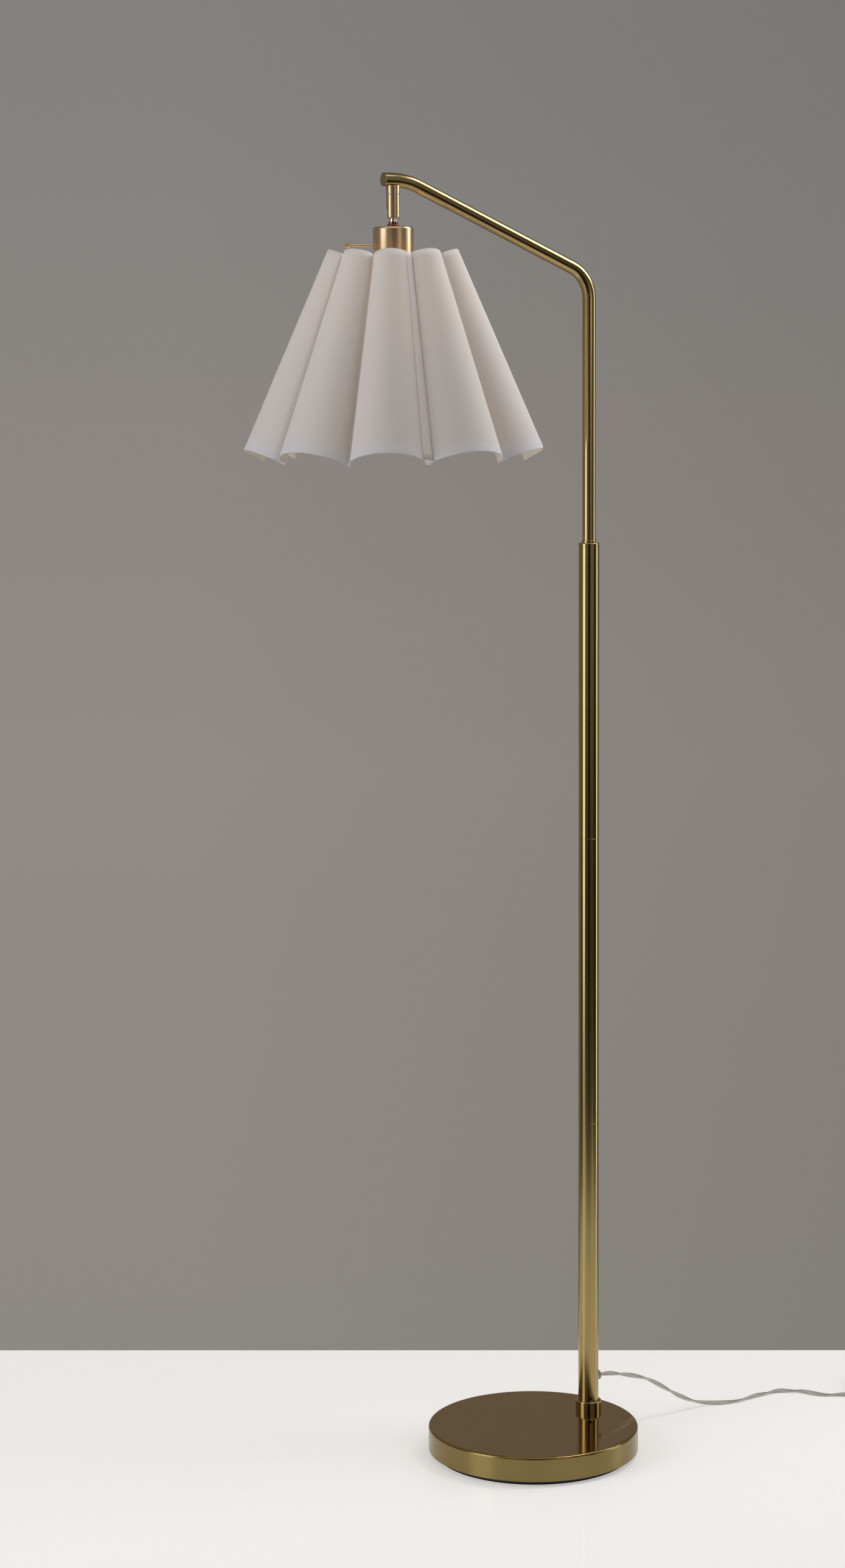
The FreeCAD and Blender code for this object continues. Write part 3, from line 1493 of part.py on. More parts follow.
def plug():
    """A two-blade plug on the floor at the coil's tail, with the lead's neck in its back."""
    _, last, heading = coil_ends()
    angle = math.degrees(math.atan2(heading.y, heading.x))
    back = mm("plug_neck_length")
    length, width, thickness = mm("plug_length"), mm("plug_width"), mm("plug_thickness")
    body = Part.makeBox(length, width, thickness, Vector(back, -width / 2, 0))
    body = body.makeFillet(mm("plug_edge_radius"), body.Edges)
    neck = Part.makeCone(
        mm("cord_diameter") / 2 + 0.4,
        mm("plug_neck_diameter") / 2,
        back + mm("plug_edge_radius"),
        Vector(0, 0, last.z),
        Vector(1, 0, 0),
    )
    frame = Placement(Vector(last.x, last.y, 0), Rotation(Vector(0, 0, 1), angle))
    body = shaped("plug_body", body.fuse(neck).removeSplitter())
    body.Placement = frame
    node(body, "plug_body")
    blades = []
    for side in (-1, 1):
        corner = Vector(
            back + length,
            side * mm("blade_spacing") / 2 - mm("blade_thickness") / 2,
            thickness / 2 - mm("blade_width") / 2,
        )
        blades.append(Part.makeBox(mm("blade_length"), mm("blade_thickness"), mm("blade_width"), corner))
    pair = shaped("plug_blades", Part.makeCompound(blades))
    pair.Placement = frame
    node(pair, "plug_blades")


# ---------------------------------------------------------------- build and write


def check(things):
    doc.recompute()
    for thing in doc.Objects:
        if "Invalid" in thing.State or "Error" in thing.State:
            raise RuntimeError(f"{thing.Name} failed: {thing.State}")
    for thing in things:
        if thing.Shape.isNull() or not thing.Shape.isValid():
            raise RuntimeError(f"{thing.Label} has no sound shape")


def write(things):
    os.makedirs("parts", exist_ok=True)
    for thing in things:
        thing.Shape.exportStep(f"parts/{thing.Label}.step")


base_shell()
base_weight()
base_underside()
base_fasteners()
foot_of_pole()
pole()
top_of_pole()
arm_tube()
arm_end_cap()
swivel_on_arm()
swivel_housing()
ball_stud()
socket_cup()
socket_bridge()
socket()
switch()
bulb()
shade()
seam_strip()
shade_frame()
grommet()
inner_leads()
cord()
cord_tie()
plug()
check(nodes)
write(nodes)
print("nodes:", len(nodes))
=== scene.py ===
# %% [markdown]
# # A bridge floor lamp, dressed for the camera
#
# A bridge lamp stands beside a chair and hangs its shade over the reader from an arm that swings on
# the pole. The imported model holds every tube, ring and screw of it at true size. This file gives those
# pieces their brass, and makes what a plain solid can't show: the sewn cloth of the shade, the twisted
# clear lead on the floor and the ribs of the switch knob. It goes piece by piece, each on its own.

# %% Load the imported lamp
import math

import bmesh
import bpy
from mathutils import Matrix, Vector, noise


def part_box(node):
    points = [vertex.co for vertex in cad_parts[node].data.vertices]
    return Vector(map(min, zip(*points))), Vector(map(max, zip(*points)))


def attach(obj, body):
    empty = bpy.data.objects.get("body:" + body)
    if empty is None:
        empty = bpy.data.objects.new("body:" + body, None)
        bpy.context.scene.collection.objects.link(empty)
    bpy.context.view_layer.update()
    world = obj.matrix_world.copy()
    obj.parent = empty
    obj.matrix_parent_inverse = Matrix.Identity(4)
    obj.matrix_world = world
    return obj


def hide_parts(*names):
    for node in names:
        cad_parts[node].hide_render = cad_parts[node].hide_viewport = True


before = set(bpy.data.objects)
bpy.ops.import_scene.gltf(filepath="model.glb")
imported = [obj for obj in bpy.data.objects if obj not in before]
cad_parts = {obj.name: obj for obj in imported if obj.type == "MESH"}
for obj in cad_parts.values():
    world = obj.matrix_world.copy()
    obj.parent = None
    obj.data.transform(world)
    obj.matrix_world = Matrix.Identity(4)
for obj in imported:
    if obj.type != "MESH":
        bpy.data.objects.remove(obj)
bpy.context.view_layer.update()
print("pieces in the packed lamp:", len(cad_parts))

# %% [markdown]
# ## Small helpers
#
# Lamps are drawn in millimetres and Blender counts metres, so lengths are written times MM. Colours are
# written as the hex values of a colour card, which are sRGB, and shaders want linear light, so one
# function turns them. Shader and geometry trees are long to build by hand, so one more function adds a
# node together with its settings and whatever feeds it.

# %% Units, directions and colours
MM = 0.001


def direction(degrees):
    """The level unit vector at this angle from +X, counted anticlockwise from above."""
    angle = math.radians(degrees)
    return Vector((math.cos(angle), math.sin(angle), 0))


def linear(hex_colour):
    """The linear colour, with full alpha, of an sRGB hex value."""
    parts = [int(hex_colour[i : i + 2], 16) / 255 for i in (1, 3, 5)]
    return [p / 12.92 if p <= 0.04045 else ((p + 0.055) / 1.055) ** 2.4 for p in parts] + [1.0]


print("white card in linear light:", linear("#FFFFFF"))


# %% Trees, meshes and pieces
def add(tree, kind, inputs=None, **settings):
    """Adds a node; each of its inputs is given a value or the socket that feeds it."""
    node = tree.nodes.new(kind)
    for name, value in settings.items():
        setattr(node, name, value)
    for socket, value in (inputs or {}).items():
        if isinstance(value, bpy.types.NodeSocket):
            tree.links.new(value, node.inputs[socket])
        else:
            node.inputs[socket].default_value = value
    return node


def new_piece(name, mesh_or_curve, material=None):
    """Puts a mesh or curve in the scene at the origin."""
    piece = bpy.data.objects.new(name, mesh_or_curve)
    bpy.context.scene.collection.objects.link(piece)
    if material:
        piece.data.materials.append(material)
    return piece


def apply_modifiers(piece):
    """Turns a piece into the plain mesh that its modifiers make."""
    graph = bpy.context.evaluated_depsgraph_get()
    made = bpy.data.meshes.new_from_object(piece.evaluated_get(graph))
    piece.modifiers.clear()
    piece.data = made
    return piece


# %% [markdown]
# ## Where the camera stands
#
# A product picture of a tall lamp is taken from well back with a long lens, so that the pole stays
# straight and the round base stays calm. Here the lens is level with the cap of the pole, looks a
# little down, and stands to the left of the arm, which then points towards the viewer's left.

# %% The camera
CAMERA_AT = Vector((-2.02213, -3.45218, 1.35757))
CAMERA_TURN = math.radians(27.5)
CAMERA_DOWN = math.radians(7.778)
CAMERA_ROLL = math.radians(0.343)
LENS_MM = 77.143

level_look = Vector((math.sin(CAMERA_TURN), math.cos(CAMERA_TURN), 0))
camera_right = Vector((math.cos(CAMERA_TURN), -math.sin(CAMERA_TURN), 0))
look = level_look * math.cos(CAMERA_DOWN) - Vector((0, 0, math.sin(CAMERA_DOWN)))
camera_up = camera_right.cross(look)
axis_x = camera_right * math.cos(CAMERA_ROLL) - camera_up * math.sin(CAMERA_ROLL)
axis_y = camera_right * math.sin(CAMERA_ROLL) + camera_up * math.cos(CAMERA_ROLL)

camera = bpy.data.objects.new("camera", bpy.data.cameras.new("camera"))
bpy.context.scene.collection.objects.link(camera)
camera.data.lens = LENS_MM
camera_turned = Matrix((axis_x, axis_y, -look)).transposed().to_4x4()
camera.matrix_world = Matrix.Translation(CAMERA_AT) @ camera_turned
bpy.context.scene.camera = camera
bpy.context.scene.view_settings.view_transform = "Standard"
print("camera to pole in metres:", round(CAMERA_AT.to_2d().length, 2))

# %% [markdown]
# ## Finishes
#
# Every finish starts from the real stuff. The lamp is steel tube and spun steel plated with brass, then
# brushed, darkened to look old and lacquered, so its colour is a metal's reflection and its feel comes
# from the brushing: fine grooves that run round each turned piece smear a highlight along its axis.
# The trees are short: a place on the piece, a noise at the size of the real grain, and the main shader.

# %% Starting a finish
def start_material(name):
    """A new material, its tree and its main shader."""
    material = bpy.data.materials.new(name)
    material.use_nodes = True
    return material, material.node_tree, material.node_tree.nodes["Principled BSDF"]


def feed(tree, shader, **sockets):
    """Links sockets of the main shader, named with underscores, to what feeds them."""
    for name, source in sockets.items():
        tree.links.new(source, shader.inputs[name.replace("_", " ")])


def fix(shader, **sockets):
    """Sets sockets of the main shader that are the same all over."""
    for name, value in sockets.items():
        shader.inputs[name.replace("_", " ")].default_value = value


def between(colours, factor):
    """What a Mix node needs to fade one hex colour into another."""
    return {"Factor": factor, "A": linear(colours[0]), "B": linear(colours[1])}


print("materials before the finishes:", len(bpy.data.materials))

# %% [markdown]
# ## Floor, wall and light
#
# The lamp is shown on a glossy pale floor before a plain grey wall. The wall is a flat card that glows
# with its own soft grey, so no light has to be aimed at it, and it is clear from behind, so that the
# lamp can be looked at from all sides. Brass is a mirror with a tint: what it shows is the room, so the
# boxes of light round the lamp and the dark cards between them are what draws the bands on the tubes.
# The wall is close behind the pole, so a box that lights the lamp from the right stands before the wall.

# %% The floor and the wall
FLOOR_SIZE = 7.0
FLOOR_GLOW = 0.44
WALL_BEHIND = 0.347
WALL_HEIGHT = 5.0
WALL_SEEN = 1.75  # the height on the wall at which the picture ends
WALL_TURN = math.radians(1.1)


def level_square(size):
    """The corners of a level square that is turned with the camera, anticlockwise from above."""
    return [(level_look * a + camera_right * b) * size for a, b in ((-1, -1), (-1, 1), (1, 1), (1, -1))]


def looking_ray(tree):
    """1 for the rays by which eyes, mirrors and clear things see, and 0 for those that only light."""
    rays = add(tree, "ShaderNodeLightPath").outputs
    seen = {0: rays["Is Camera Ray"], 1: rays["Is Glossy Ray"]}
    seen = add(tree, "ShaderNodeMath", seen, operation="MAXIMUM").outputs[0]
    seen = {0: seen, 1: rays["Is Transmission Ray"]}
    return add(tree, "ShaderNodeMath", seen, operation="MAXIMUM").outputs[0]


def card(name, corners, material):
    """A flat stage piece with these corners, anticlockwise when seen from its front."""
    mesh = bpy.data.meshes.new(name)
    mesh.from_pydata(corners, [], [range(len(corners))])
    return new_piece(name, mesh, material)


def glossy_floor():
    """Lacquered board: matt white under a thin clear gloss. Eyes and mirrors see it fully lit."""
    material, tree, shader = start_material("lacquered_floor")
    glow = {0: looking_ray(tree), 1: FLOOR_GLOW}
    glow = add(tree, "ShaderNodeMath", glow, operation="MULTIPLY").outputs[0]
    feed(tree, shader, Emission_Strength=glow)
    fix(
        shader, Base_Color=linear("#F1EEEB"), Emission_Color=linear("#FFFDFB"), Roughness=0.6,
        Specular_IOR_Level=0.2, Coat_Weight=0.35, Coat_Roughness=0.04,
    )
    return material


def glowing_wall():
    """A grey glowing wall with painted light in it: a little warmer and brighter at eye level, dimmer to
    the right, and clear from behind.
    """
    material, tree, shader = start_material("grey_wall")
    tree.nodes.remove(shader)
    place = add(tree, "ShaderNodeTexCoord").outputs["Object"]
    height = add(tree, "ShaderNodeSeparateXYZ", {"Vector": place}).outputs["Z"]
    risen = add(tree, "ShaderNodeMapRange", {"Value": height, "From Max": WALL_SEEN}).outputs[0]
    # painted light: the glow is warmest and brightest part way up the wall
    ramp = add(tree, "ShaderNodeValToRGB", {"Fac": risen})
    stops = ramp.color_ramp.elements
    stops[0].color, stops[1].color = linear("#8A8680"), linear("#807F7D")
    stops.new(0.45).color = linear("#908882")
    across = {0: place, 1: tuple(camera_right)}
    across = add(tree, "ShaderNodeVectorMath", across, operation="DOT_PRODUCT").outputs["Value"]
    # painted light: the glow dims towards the right, as light falls off across a wall
    fade = {"Value": across, "From Min": -0.5, "From Max": 0.5, "To Min": 1.04, "To Max": 0.86}
    fade = add(tree, "ShaderNodeMapRange", fade).outputs[0]
    glow = {"Color": ramp.outputs["Color"], "Strength": fade}
    glow = add(tree, "ShaderNodeEmission", glow).outputs[0]
    clear = add(tree, "ShaderNodeBsdfTransparent").outputs[0]
    behind = add(tree, "ShaderNodeNewGeometry").outputs["Backfacing"]
    both = add(tree, "ShaderNodeMixShader", {0: behind, 1: glow, 2: clear}).outputs[0]
    tree.links.new(both, tree.nodes["Material Output"].inputs["Surface"])
    return material


floor = card("floor", level_square(FLOOR_SIZE), glossy_floor())
wall_foot = level_look * WALL_BEHIND
wall_along = camera_right * math.cos(WALL_TURN) - level_look * math.sin(WALL_TURN)
wall_corners = [wall_foot + wall_along * side * FLOOR_SIZE for side in (-1, 1)]
wall_corners += [corner + Vector((0, 0, WALL_HEIGHT)) for corner in reversed(wall_corners)]
wall = card("wall", wall_corners, glowing_wall())
print("the wall stands", WALL_BEHIND, "m behind the pole")

# %% The room's own light
ROOM_LIGHT = 0.19

world = bpy.data.worlds.new("room")
bpy.context.scene.world = world
world.use_nodes = True
room = world.node_tree
grey = room.nodes["Background"]
grey.inputs["Color"].default_value = linear("#8A8680")
light = add(room, "ShaderNodeBackground", {"Color": linear("#FFF6EF"), "Strength": ROOM_LIGHT})
both = add(room, "ShaderNodeMixShader", {0: looking_ray(room), 1: light.outputs[0], 2: grey.outputs[0]})
room.links.new(both.outputs[0], room.nodes["World Output"].inputs["Surface"])
print("room light:", ROOM_LIGHT)


# %% Boxes of light and dark cards
HEAD = Vector((-258.4 * MM, 0, 0))  # the floor under the middle of the head
LAMP_MIDDLE = Vector((0, 0, 0.75))
SHADE_MIDDLE = HEAD + Vector((0, 0, 1.33))


def facing(azimuth, elevation, distance, target=LAMP_MIDDLE):
    """The matrix of something out there that faces the target."""
    away = direction(azimuth) * math.cos(math.radians(elevation))
    away.z = math.sin(math.radians(elevation))
    turned = away.to_track_quat("Z", "Y").to_matrix().to_4x4()
    return Matrix.Translation(target + away * distance) @ turned


def light_box(name, azimuth, elevation, width, height, glow, colour, distance=2.6, target=LAMP_MIDDLE):
    """A soft box whose face is this bright; the camera doesn't see it, but brass does."""
    box = bpy.data.lights.new(name, "AREA")
    box.shape = "RECTANGLE"
    box.size = width
    box.size_y = height
    box.energy = glow * math.pi * width * height
    box.color = linear(colour)[:3]
    lamp = new_piece(name, box)
    lamp.matrix_world = facing(azimuth, elevation, distance, target)
    lamp.visible_camera = False
    return lamp


def only_in_mirrors(screen):
    """A card that only reflections see."""
    screen.visible_camera = screen.visible_diffuse = screen.visible_shadow = False
    screen.visible_transmission = False
    return screen


def black_felt():
    """Felt takes nearly all light, so a mirror shows the card as a dark band."""
    material, _, shader = start_material("black_felt")
    fix(shader, Base_Color=linear("#0A0908"))
    return material


def dark_card(name, azimuth, width, material, height=3.4, distance=2.4):
    """A dark card that stands upright and faces the lamp."""
    place = facing(azimuth, 0, distance)
    signs = ((-1, -1), (1, -1), (1, 1), (-1, 1))
    corners = [place @ Vector((width / 2 * a, height / 2 * b, 0)) for a, b in signs]
    return only_in_mirrors(card(name, corners, material))


def dark_surround(inner, outer, material, level=2 * MM):
    """A dark square ring just above the floor that only reflections see: a painted reflection, so the
    brass shows dark floor beyond the lamp.
    """
    rise = Vector((0, 0, level))
    corners = [corner + rise for size in (inner, outer) for corner in level_square(size)]
    mesh = bpy.data.meshes.new("dark_surround")
    mesh.from_pydata(corners, [], [(i, 4 + i, 4 + (i + 1) % 4, (i + 1) % 4) for i in range(4)])
    return only_in_mirrors(new_piece("dark_surround", mesh, material))


# each box: azimuth and elevation in degrees, width and height in metres, brightness and colour
light_box("key_strip", 338, 12, 0.26, 2.0, 2.4, "#F4F8FF", distance=0.95)
light_box("right_box", 345, 35, 0.45, 0.8, 5.6, "#F8FAFF", distance=1.1, target=SHADE_MIDDLE)
light_box("front_box", 274, 20, 0.5, 0.8, 1.6, "#FFF3E6")
light_box("left_box", 184, 8, 1.2, 2.6, 2.7, "#F4F7FF")
light_box("top_box", 246, 76, 1.1, 0.3, 2.7, "#FBFCFF", distance=0.95, target=SHADE_MIDDLE)
felt = black_felt()
dark_card("camera_side_card", 242.5, 1.0, felt)
dark_card("right_card", 308, 0.8, felt)
# painted reflection: a dark floor ring that only the brass sees
dark_surround(1.1, 6.5, felt)

# %% [markdown]
# ## The metals, plastics and cloths
#
# Each function makes one kind of stuff, and its colours, roughness and grain make the finish. Real parts
# of one lamp never match quite: tube is drawn, a cup is spun and a rod is turned, so each takes the
# plating in its own way, and each has its own tone of the same old brass here.

# %% Brushed, lacquered brass
GRAIN = 0.35 * MM  # brushing grit leaves 0.05 mm grooves; they are drawn wider, so that they show
GROOVE_STRETCH = 0.02  # grooves run round the axis, so across it the noise hardly changes
GROOVE_DEPTH = 0.01 * MM
CLOUD = 40 * MM  # the size of the patches in which old lacquer differs
CLOUD_ROUGH = 0.02
HEAD_ANGLE = 152.5  # the level direction of the switch, anticlockwise from +X


def brushed_brass(name, colours, roughness, axis=(0, 0, 1), anisotropy=0.75, coat=0.35, depth=0.05):
    """Antique brass plate, brushed round the axis and lacquered: highlights stretch along the axis."""
    material, tree, shader = start_material(name)
    place = add(tree, "ShaderNodeTexCoord").outputs["Object"]
    turn = Vector(axis).rotation_difference(Vector((0, 0, 1))).to_euler()
    aligned = add(tree, "ShaderNodeMapping", {"Vector": place, "Rotation": turn}).outputs[0]
    stretched = {"Vector": aligned, "Scale": (GROOVE_STRETCH, GROOVE_STRETCH, 1)}
    stretched = add(tree, "ShaderNodeMapping", stretched).outputs[0]
    grain = {"Vector": stretched, "Scale": 1 / GRAIN, "Detail": 2}
    grain = add(tree, "ShaderNodeTexNoise", grain).outputs[0]
    cloud = {"Vector": place, "Scale": 1 / CLOUD, "Detail": 3}
    cloud = add(tree, "ShaderNodeTexNoise", cloud).outputs[0]
    limits = {"Value": cloud, "To Min": roughness - CLOUD_ROUGH, "To Max": roughness + CLOUD_ROUGH}
    rough = add(tree, "ShaderNodeMapRange", limits).outputs[0]
    bump = {"Height": grain, "Strength": depth, "Distance": GROOVE_DEPTH}
    bump = add(tree, "ShaderNodeBump", bump).outputs[0]
    way = add(tree, "ShaderNodeCombineXYZ", dict(zip("XYZ", axis))).outputs[0]
    tone = add(tree, "ShaderNodeMix", between(colours, cloud), data_type="RGBA").outputs[2]
    feed(tree, shader, Base_Color=tone, Roughness=rough, Normal=bump, Tangent=way)
    fix(shader, Metallic=1.0, Anisotropic=anisotropy, Coat_Weight=coat, Coat_Roughness=0.12)
    return material


# Straight tube, brushed fine as it turns: the room's light and dark stand in it as clear upright bands.
tube_brass = brushed_brass("antique_brass_tube", ("#A59260", "#9C8854"), 0.17)
# Bent tube can't be turned against a brush, so it is polished by hand: no grooves, one even gleam.
bent_brass = brushed_brass("antique_brass_arm", ("#AE9668", "#A48C5C"), 0.2, anisotropy=0, depth=0)
# Spun cup and turned housing, satin brushed: paler, with a broad soft highlight.
cup_brass = brushed_brass("antique_brass_cup", ("#C8AE8A", "#BCA27E"), 0.36)
# Thin turned rod, brushed round its own level axis: one light streak along it.
switch_axis = tuple(direction(HEAD_ANGLE))
rod_brass = brushed_brass("antique_brass_rod", ("#D2B48A", "#C2A47A"), 0.24, axis=switch_axis)
print("brass finishes:", tube_brass.name, bent_brass.name, cup_brass.name, rod_brass.name)

# %% The base cover's brass
TOP_ROUGHNESS = 0.07
# painted shade: the darker colour of the cover's side
SIDE_PAINTED_SHADE = "#857549"


def base_brass():
    """Spun cover: polished and lacquered on top, brushed at the side, where its colour is painted darker
    as painted shade.
    """
    material = brushed_brass("antique_brass_base", ("#A8864C", "#9E7C42"), 0.26, coat=0)
    tree = material.node_tree
    shader = tree.nodes["Principled BSDF"]
    normal = add(tree, "ShaderNodeNewGeometry").outputs["Normal"]
    up = add(tree, "ShaderNodeSeparateXYZ", {"Vector": normal}).outputs["Z"]
    on_top = add(tree, "ShaderNodeMapRange", {"Value": up, "From Min": 0.6, "From Max": 0.95}).outputs[0]
    side = shader.inputs["Roughness"].links[0].from_socket
    rough = {"Factor": on_top, "A": side, "B": TOP_ROUGHNESS}
    rough = add(tree, "ShaderNodeMix", rough).outputs[0]
    way = {"Factor": on_top, "A": (0, 0, 1), "B": (1, 0, 0)}
    way = add(tree, "ShaderNodeMix", way, data_type="VECTOR").outputs[1]
    top_tone = shader.inputs["Base Color"].links[0].from_socket
    # painted shade: a darker colour on the side, while the top keeps the brass's own
    tone = {"Factor": on_top, "A": linear(SIDE_PAINTED_SHADE), "B": top_tone}
    tone = add(tree, "ShaderNodeMix", tone, data_type="RGBA").outputs[2]
    feed(tree, shader, Base_Color=tone, Roughness=rough, Tangent=way)
    fix(shader, Coat_Roughness=0.03)
    return material


cover_brass = base_brass()
print("base cover's finish:", cover_brass.name)


# %% Plain metals
def grained(name, colours, roughness, grain, bump, detail, spread, relief):
    """Stuff whose one fine grain mottles its colour, its gloss and its skin."""
    material, tree, shader = start_material(name)
    place = add(tree, "ShaderNodeTexCoord").outputs["Object"]
    speck = {"Vector": place, "Scale": 1 / grain, "Detail": detail}
    speck = add(tree, "ShaderNodeTexNoise", speck).outputs[0]
    limits = {"Value": speck, "To Min": roughness * (1 - spread), "To Max": roughness * (1 + spread)}
    rough = add(tree, "ShaderNodeMapRange", limits).outputs[0]
    skin = {"Height": speck, "Strength": bump, "Distance": grain * relief}
    skin = add(tree, "ShaderNodeBump", skin).outputs[0]
    tone = add(tree, "ShaderNodeMix", between(colours, speck), data_type="RGBA").outputs[2]
    feed(tree, shader, Base_Color=tone, Roughness=rough, Normal=skin)
    return material, shader


def metal(name, colours, roughness, grain, bump=0.1):
    """Bare or plated metal, mottled at the size of its grain."""
    material, shader = grained(name, colours, roughness, grain, bump, detail=3, spread=0.2, relief=0.1)
    fix(shader, Metallic=1.0)
    return material


# Red brass, polished: the ring mirrors more sharply than the plate round it, and darker.
copper_ring = metal("polished_copper_brass", ("#8A5C3E", "#6A4630"), 0.14, 6 * MM, bump=0.03)
# Chrome plate on the ball and the lampholder's shell: a hard, colourless mirror.
bright_steel = metal("bright_chrome", ("#DAD8D4", "#CFCCC6"), 0.1, 5 * MM)
# Zinc plate on hidden threads and nuts: dull and bluish, as on any bought fastener.
zinc_steel = metal("zinc_plated_steel", ("#BFC1C2", "#A9ABAB"), 0.35, 3 * MM)
# Sand casting on the weight: dark and coarse.
cast_iron = metal("cast_iron", ("#4C4A48", "#35332F"), 0.7, 1.5 * MM, bump=0.6)
# Rolled thread of the bulb's cap: pale and soft.
cap_aluminium = metal("rolled_aluminium", ("#D5D5D3", "#C6C6C4"), 0.32, 2 * MM)
# Bundle of tinned strands: a broken glint that reads as fine wire.
tinned_copper = metal("tinned_copper_strands", ("#FBFAF6", "#C9C4B8"), 0.42, 0.6 * MM, bump=0.5)
# Turned rod of the knob, left bright: a small crisp highlight on each rib.
knob_brass = metal("turned_brass", ("#D8BC90", "#C8AA7C"), 0.2, 3 * MM, bump=0.03)
print("plain metals:", copper_ring.name, bright_steel.name, zinc_steel.name, cast_iron.name)


# %% Moulded and painted stuff
def moulded(name, colours, roughness, grain, bump=0.2, glow=None):
    """Plastic, rubber or enamel: a fine even skin on a body colour."""
    material, shader = grained(name, colours, roughness, grain, bump, detail=4, spread=0.15, relief=0.125)
    if glow:
        fix(shader, Emission_Color=linear(glow[0]), Emission_Strength=glow[1])
    return material


# Baked enamel on the plate and the screw: a black line under the bright cover.
black_enamel = moulded("black_enamelled_steel", ("#0D0D0E", "#161617"), 0.35, 1 * MM)
# Cut foam under the base: it takes the light and shows as a shadow.
pad_rubber = moulded("black_eva_foam", ("#0B0B0B", "#141414"), 0.85, 0.8 * MM, bump=0.5)
# Dipped wire of the shade's rings: white, so that it doesn't show through the cloth.
white_enamel = moulded("white_enamelled_wire", ("#EFEDE8", "#E6E3DC"), 0.3, 2 * MM)
# Pressed phenolic of the lampholder: black with a dull shine.
black_phenolic = moulded("black_phenolic", ("#131313", "#1C1B1A"), 0.4, 1 * MM)
# Opal glass of the bulb: lit from inside, it glows evenly and warms the cloth round it.
opal_glass = moulded("opal_glass", ("#FFFAF0", "#FFF7EA"), 0.25, 3 * MM, bump=0, glow=("#FFD8A6", 4.0))
print("moulded and painted:", black_enamel.name, pad_rubber.name, white_enamel.name)


# %% Clear flexible jacket
SMOKE = 4 * MM  # the size of the faint clouds in the plastic


def clear_pvc():
    """Soft clear PVC: glossy, faintly smoky, and mostly see-through."""
    material, tree, shader = start_material("clear_pvc")
    place = add(tree, "ShaderNodeTexCoord").outputs["Object"]
    smoke = {"Vector": place, "Scale": 1 / SMOKE, "Detail": 2}
    smoke = add(tree, "ShaderNodeTexNoise", smoke).outputs[0]
    rough = add(tree, "ShaderNodeMapRange", {"Value": smoke, "To Min": 0.06, "To Max": 0.2}).outputs[0]
    tone = between(("#F4F3EF", "#E8E6E0"), smoke)
    tone = add(tree, "ShaderNodeMix", tone, data_type="RGBA").outputs[2]
    feed(tree, shader, Base_Color=tone, Roughness=rough)
    fix(shader, Transmission_Weight=0.93, IOR=1.5)
    return material


jacket_pvc = clear_pvc()
print("jacket:", jacket_pvc.name)

# %% Crepe cloth
THREAD = 0.9 * MM  # crepe's twisted yarns are 0.3 mm; they are drawn wider, so that they show
PEBBLE_HEIGHT = 0.25 * MM
HEM = 10 * MM
HEM_FADE = (9 * MM, 3 * MM)  # the hem's painted shade fades in from so far above its edge to so far below


def crepe(name, colours, see_through, hem_shade_colour=None):
    """Stiffened crepe: matt, pebbled, and lit through by the bulb; the doubled hem is painted cooler, as
    painted shade where less of the bulb's light comes through.
    """
    material, tree, shader = start_material(name)
    flat = add(tree, "ShaderNodeUVMap").outputs[0]
    pebble = {"Vector": flat, "Scale": 1 / THREAD, "Detail": 4}
    pebble = add(tree, "ShaderNodeTexNoise", pebble).outputs[0]
    weave = add(tree, "ShaderNodeMapping", {"Vector": flat, "Scale": (1, 0.35, 1)}).outputs[0]
    weave = add(tree, "ShaderNodeTexVoronoi", {"Vector": weave, "Scale": 0.7 / THREAD}).outputs[0]
    both = add(tree, "ShaderNodeMath", {0: pebble, 1: weave}, operation="ADD").outputs[0]
    tone = add(tree, "ShaderNodeMix", between(colours, pebble), data_type="RGBA").outputs[2]
    if hem_shade_colour:
        up = add(tree, "ShaderNodeSeparateXYZ", {"Vector": flat}).outputs["Y"]
        in_hem = {"Value": up, "From Min": HEM + HEM_FADE[0], "From Max": HEM - HEM_FADE[1]}
        in_hem = add(tree, "ShaderNodeMapRange", in_hem).outputs[0]
        # painted shade: the doubled hem takes a cooler colour
        hem = {"Factor": in_hem, "A": tone, "B": linear(hem_shade_colour)}
        tone = add(tree, "ShaderNodeMix", hem, data_type="RGBA").outputs[2]
    bump = {"Height": both, "Strength": 0.5, "Distance": PEBBLE_HEIGHT}
    bump = add(tree, "ShaderNodeBump", bump).outputs[0]
    feed(tree, shader, Base_Color=tone, Normal=bump)
    fix(shader, Roughness=0.9, Sheen_Weight=0.15, Specular_IOR_Level=0.2)
    through = add(tree, "ShaderNodeBsdfTranslucent", {"Color": tone, "Normal": bump}).outputs[0]
    mixed = {0: see_through, 1: shader.outputs[0], 2: through}
    mixed = add(tree, "ShaderNodeMixShader", mixed).outputs[0]
    tree.links.new(mixed, tree.nodes["Material Output"].inputs["Surface"])
    return material


# Woven crepe, stiffened: white by day, and warm where the bulb's light comes through it; its doubled hem
# is painted cooler, as painted shade.
shade_crepe = crepe("white_crepe_cloth", ("#F2EDE9", "#E6E0DB"), 0.23, hem_shade_colour="#EAE9EB")
# The same weave, unbleached, pasted inside: cream where a fold lets it be seen.
lining = crepe("cream_lining", ("#F6EFE2", "#EFE7D8"), 0.25)
# The same crepe, folded to a band: hardly any light comes through, so its colour is painted lighter and
# warmer than the cloth's, as painted light in place of the bulb's glow.
painted_light_band_crepe = crepe("doubled_crepe_band", ("#FBF4F0", "#F1E9E5"), 0.02)
# Spun thread, pulled into the cloth: each stitch is painted grey, as painted shade where it sinks into
# the crepe.
thread = moulded("sewing_thread", ("#8A827B", "#746C65"), 0.8, 0.5 * MM, bump=0.5)
print("cloths:", shade_crepe.name, lining.name, painted_light_band_crepe.name)

# %% [markdown]
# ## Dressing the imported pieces
#
# Most of the lamp is turned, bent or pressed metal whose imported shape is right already. Those pieces
# keep their shape and only take their finish.

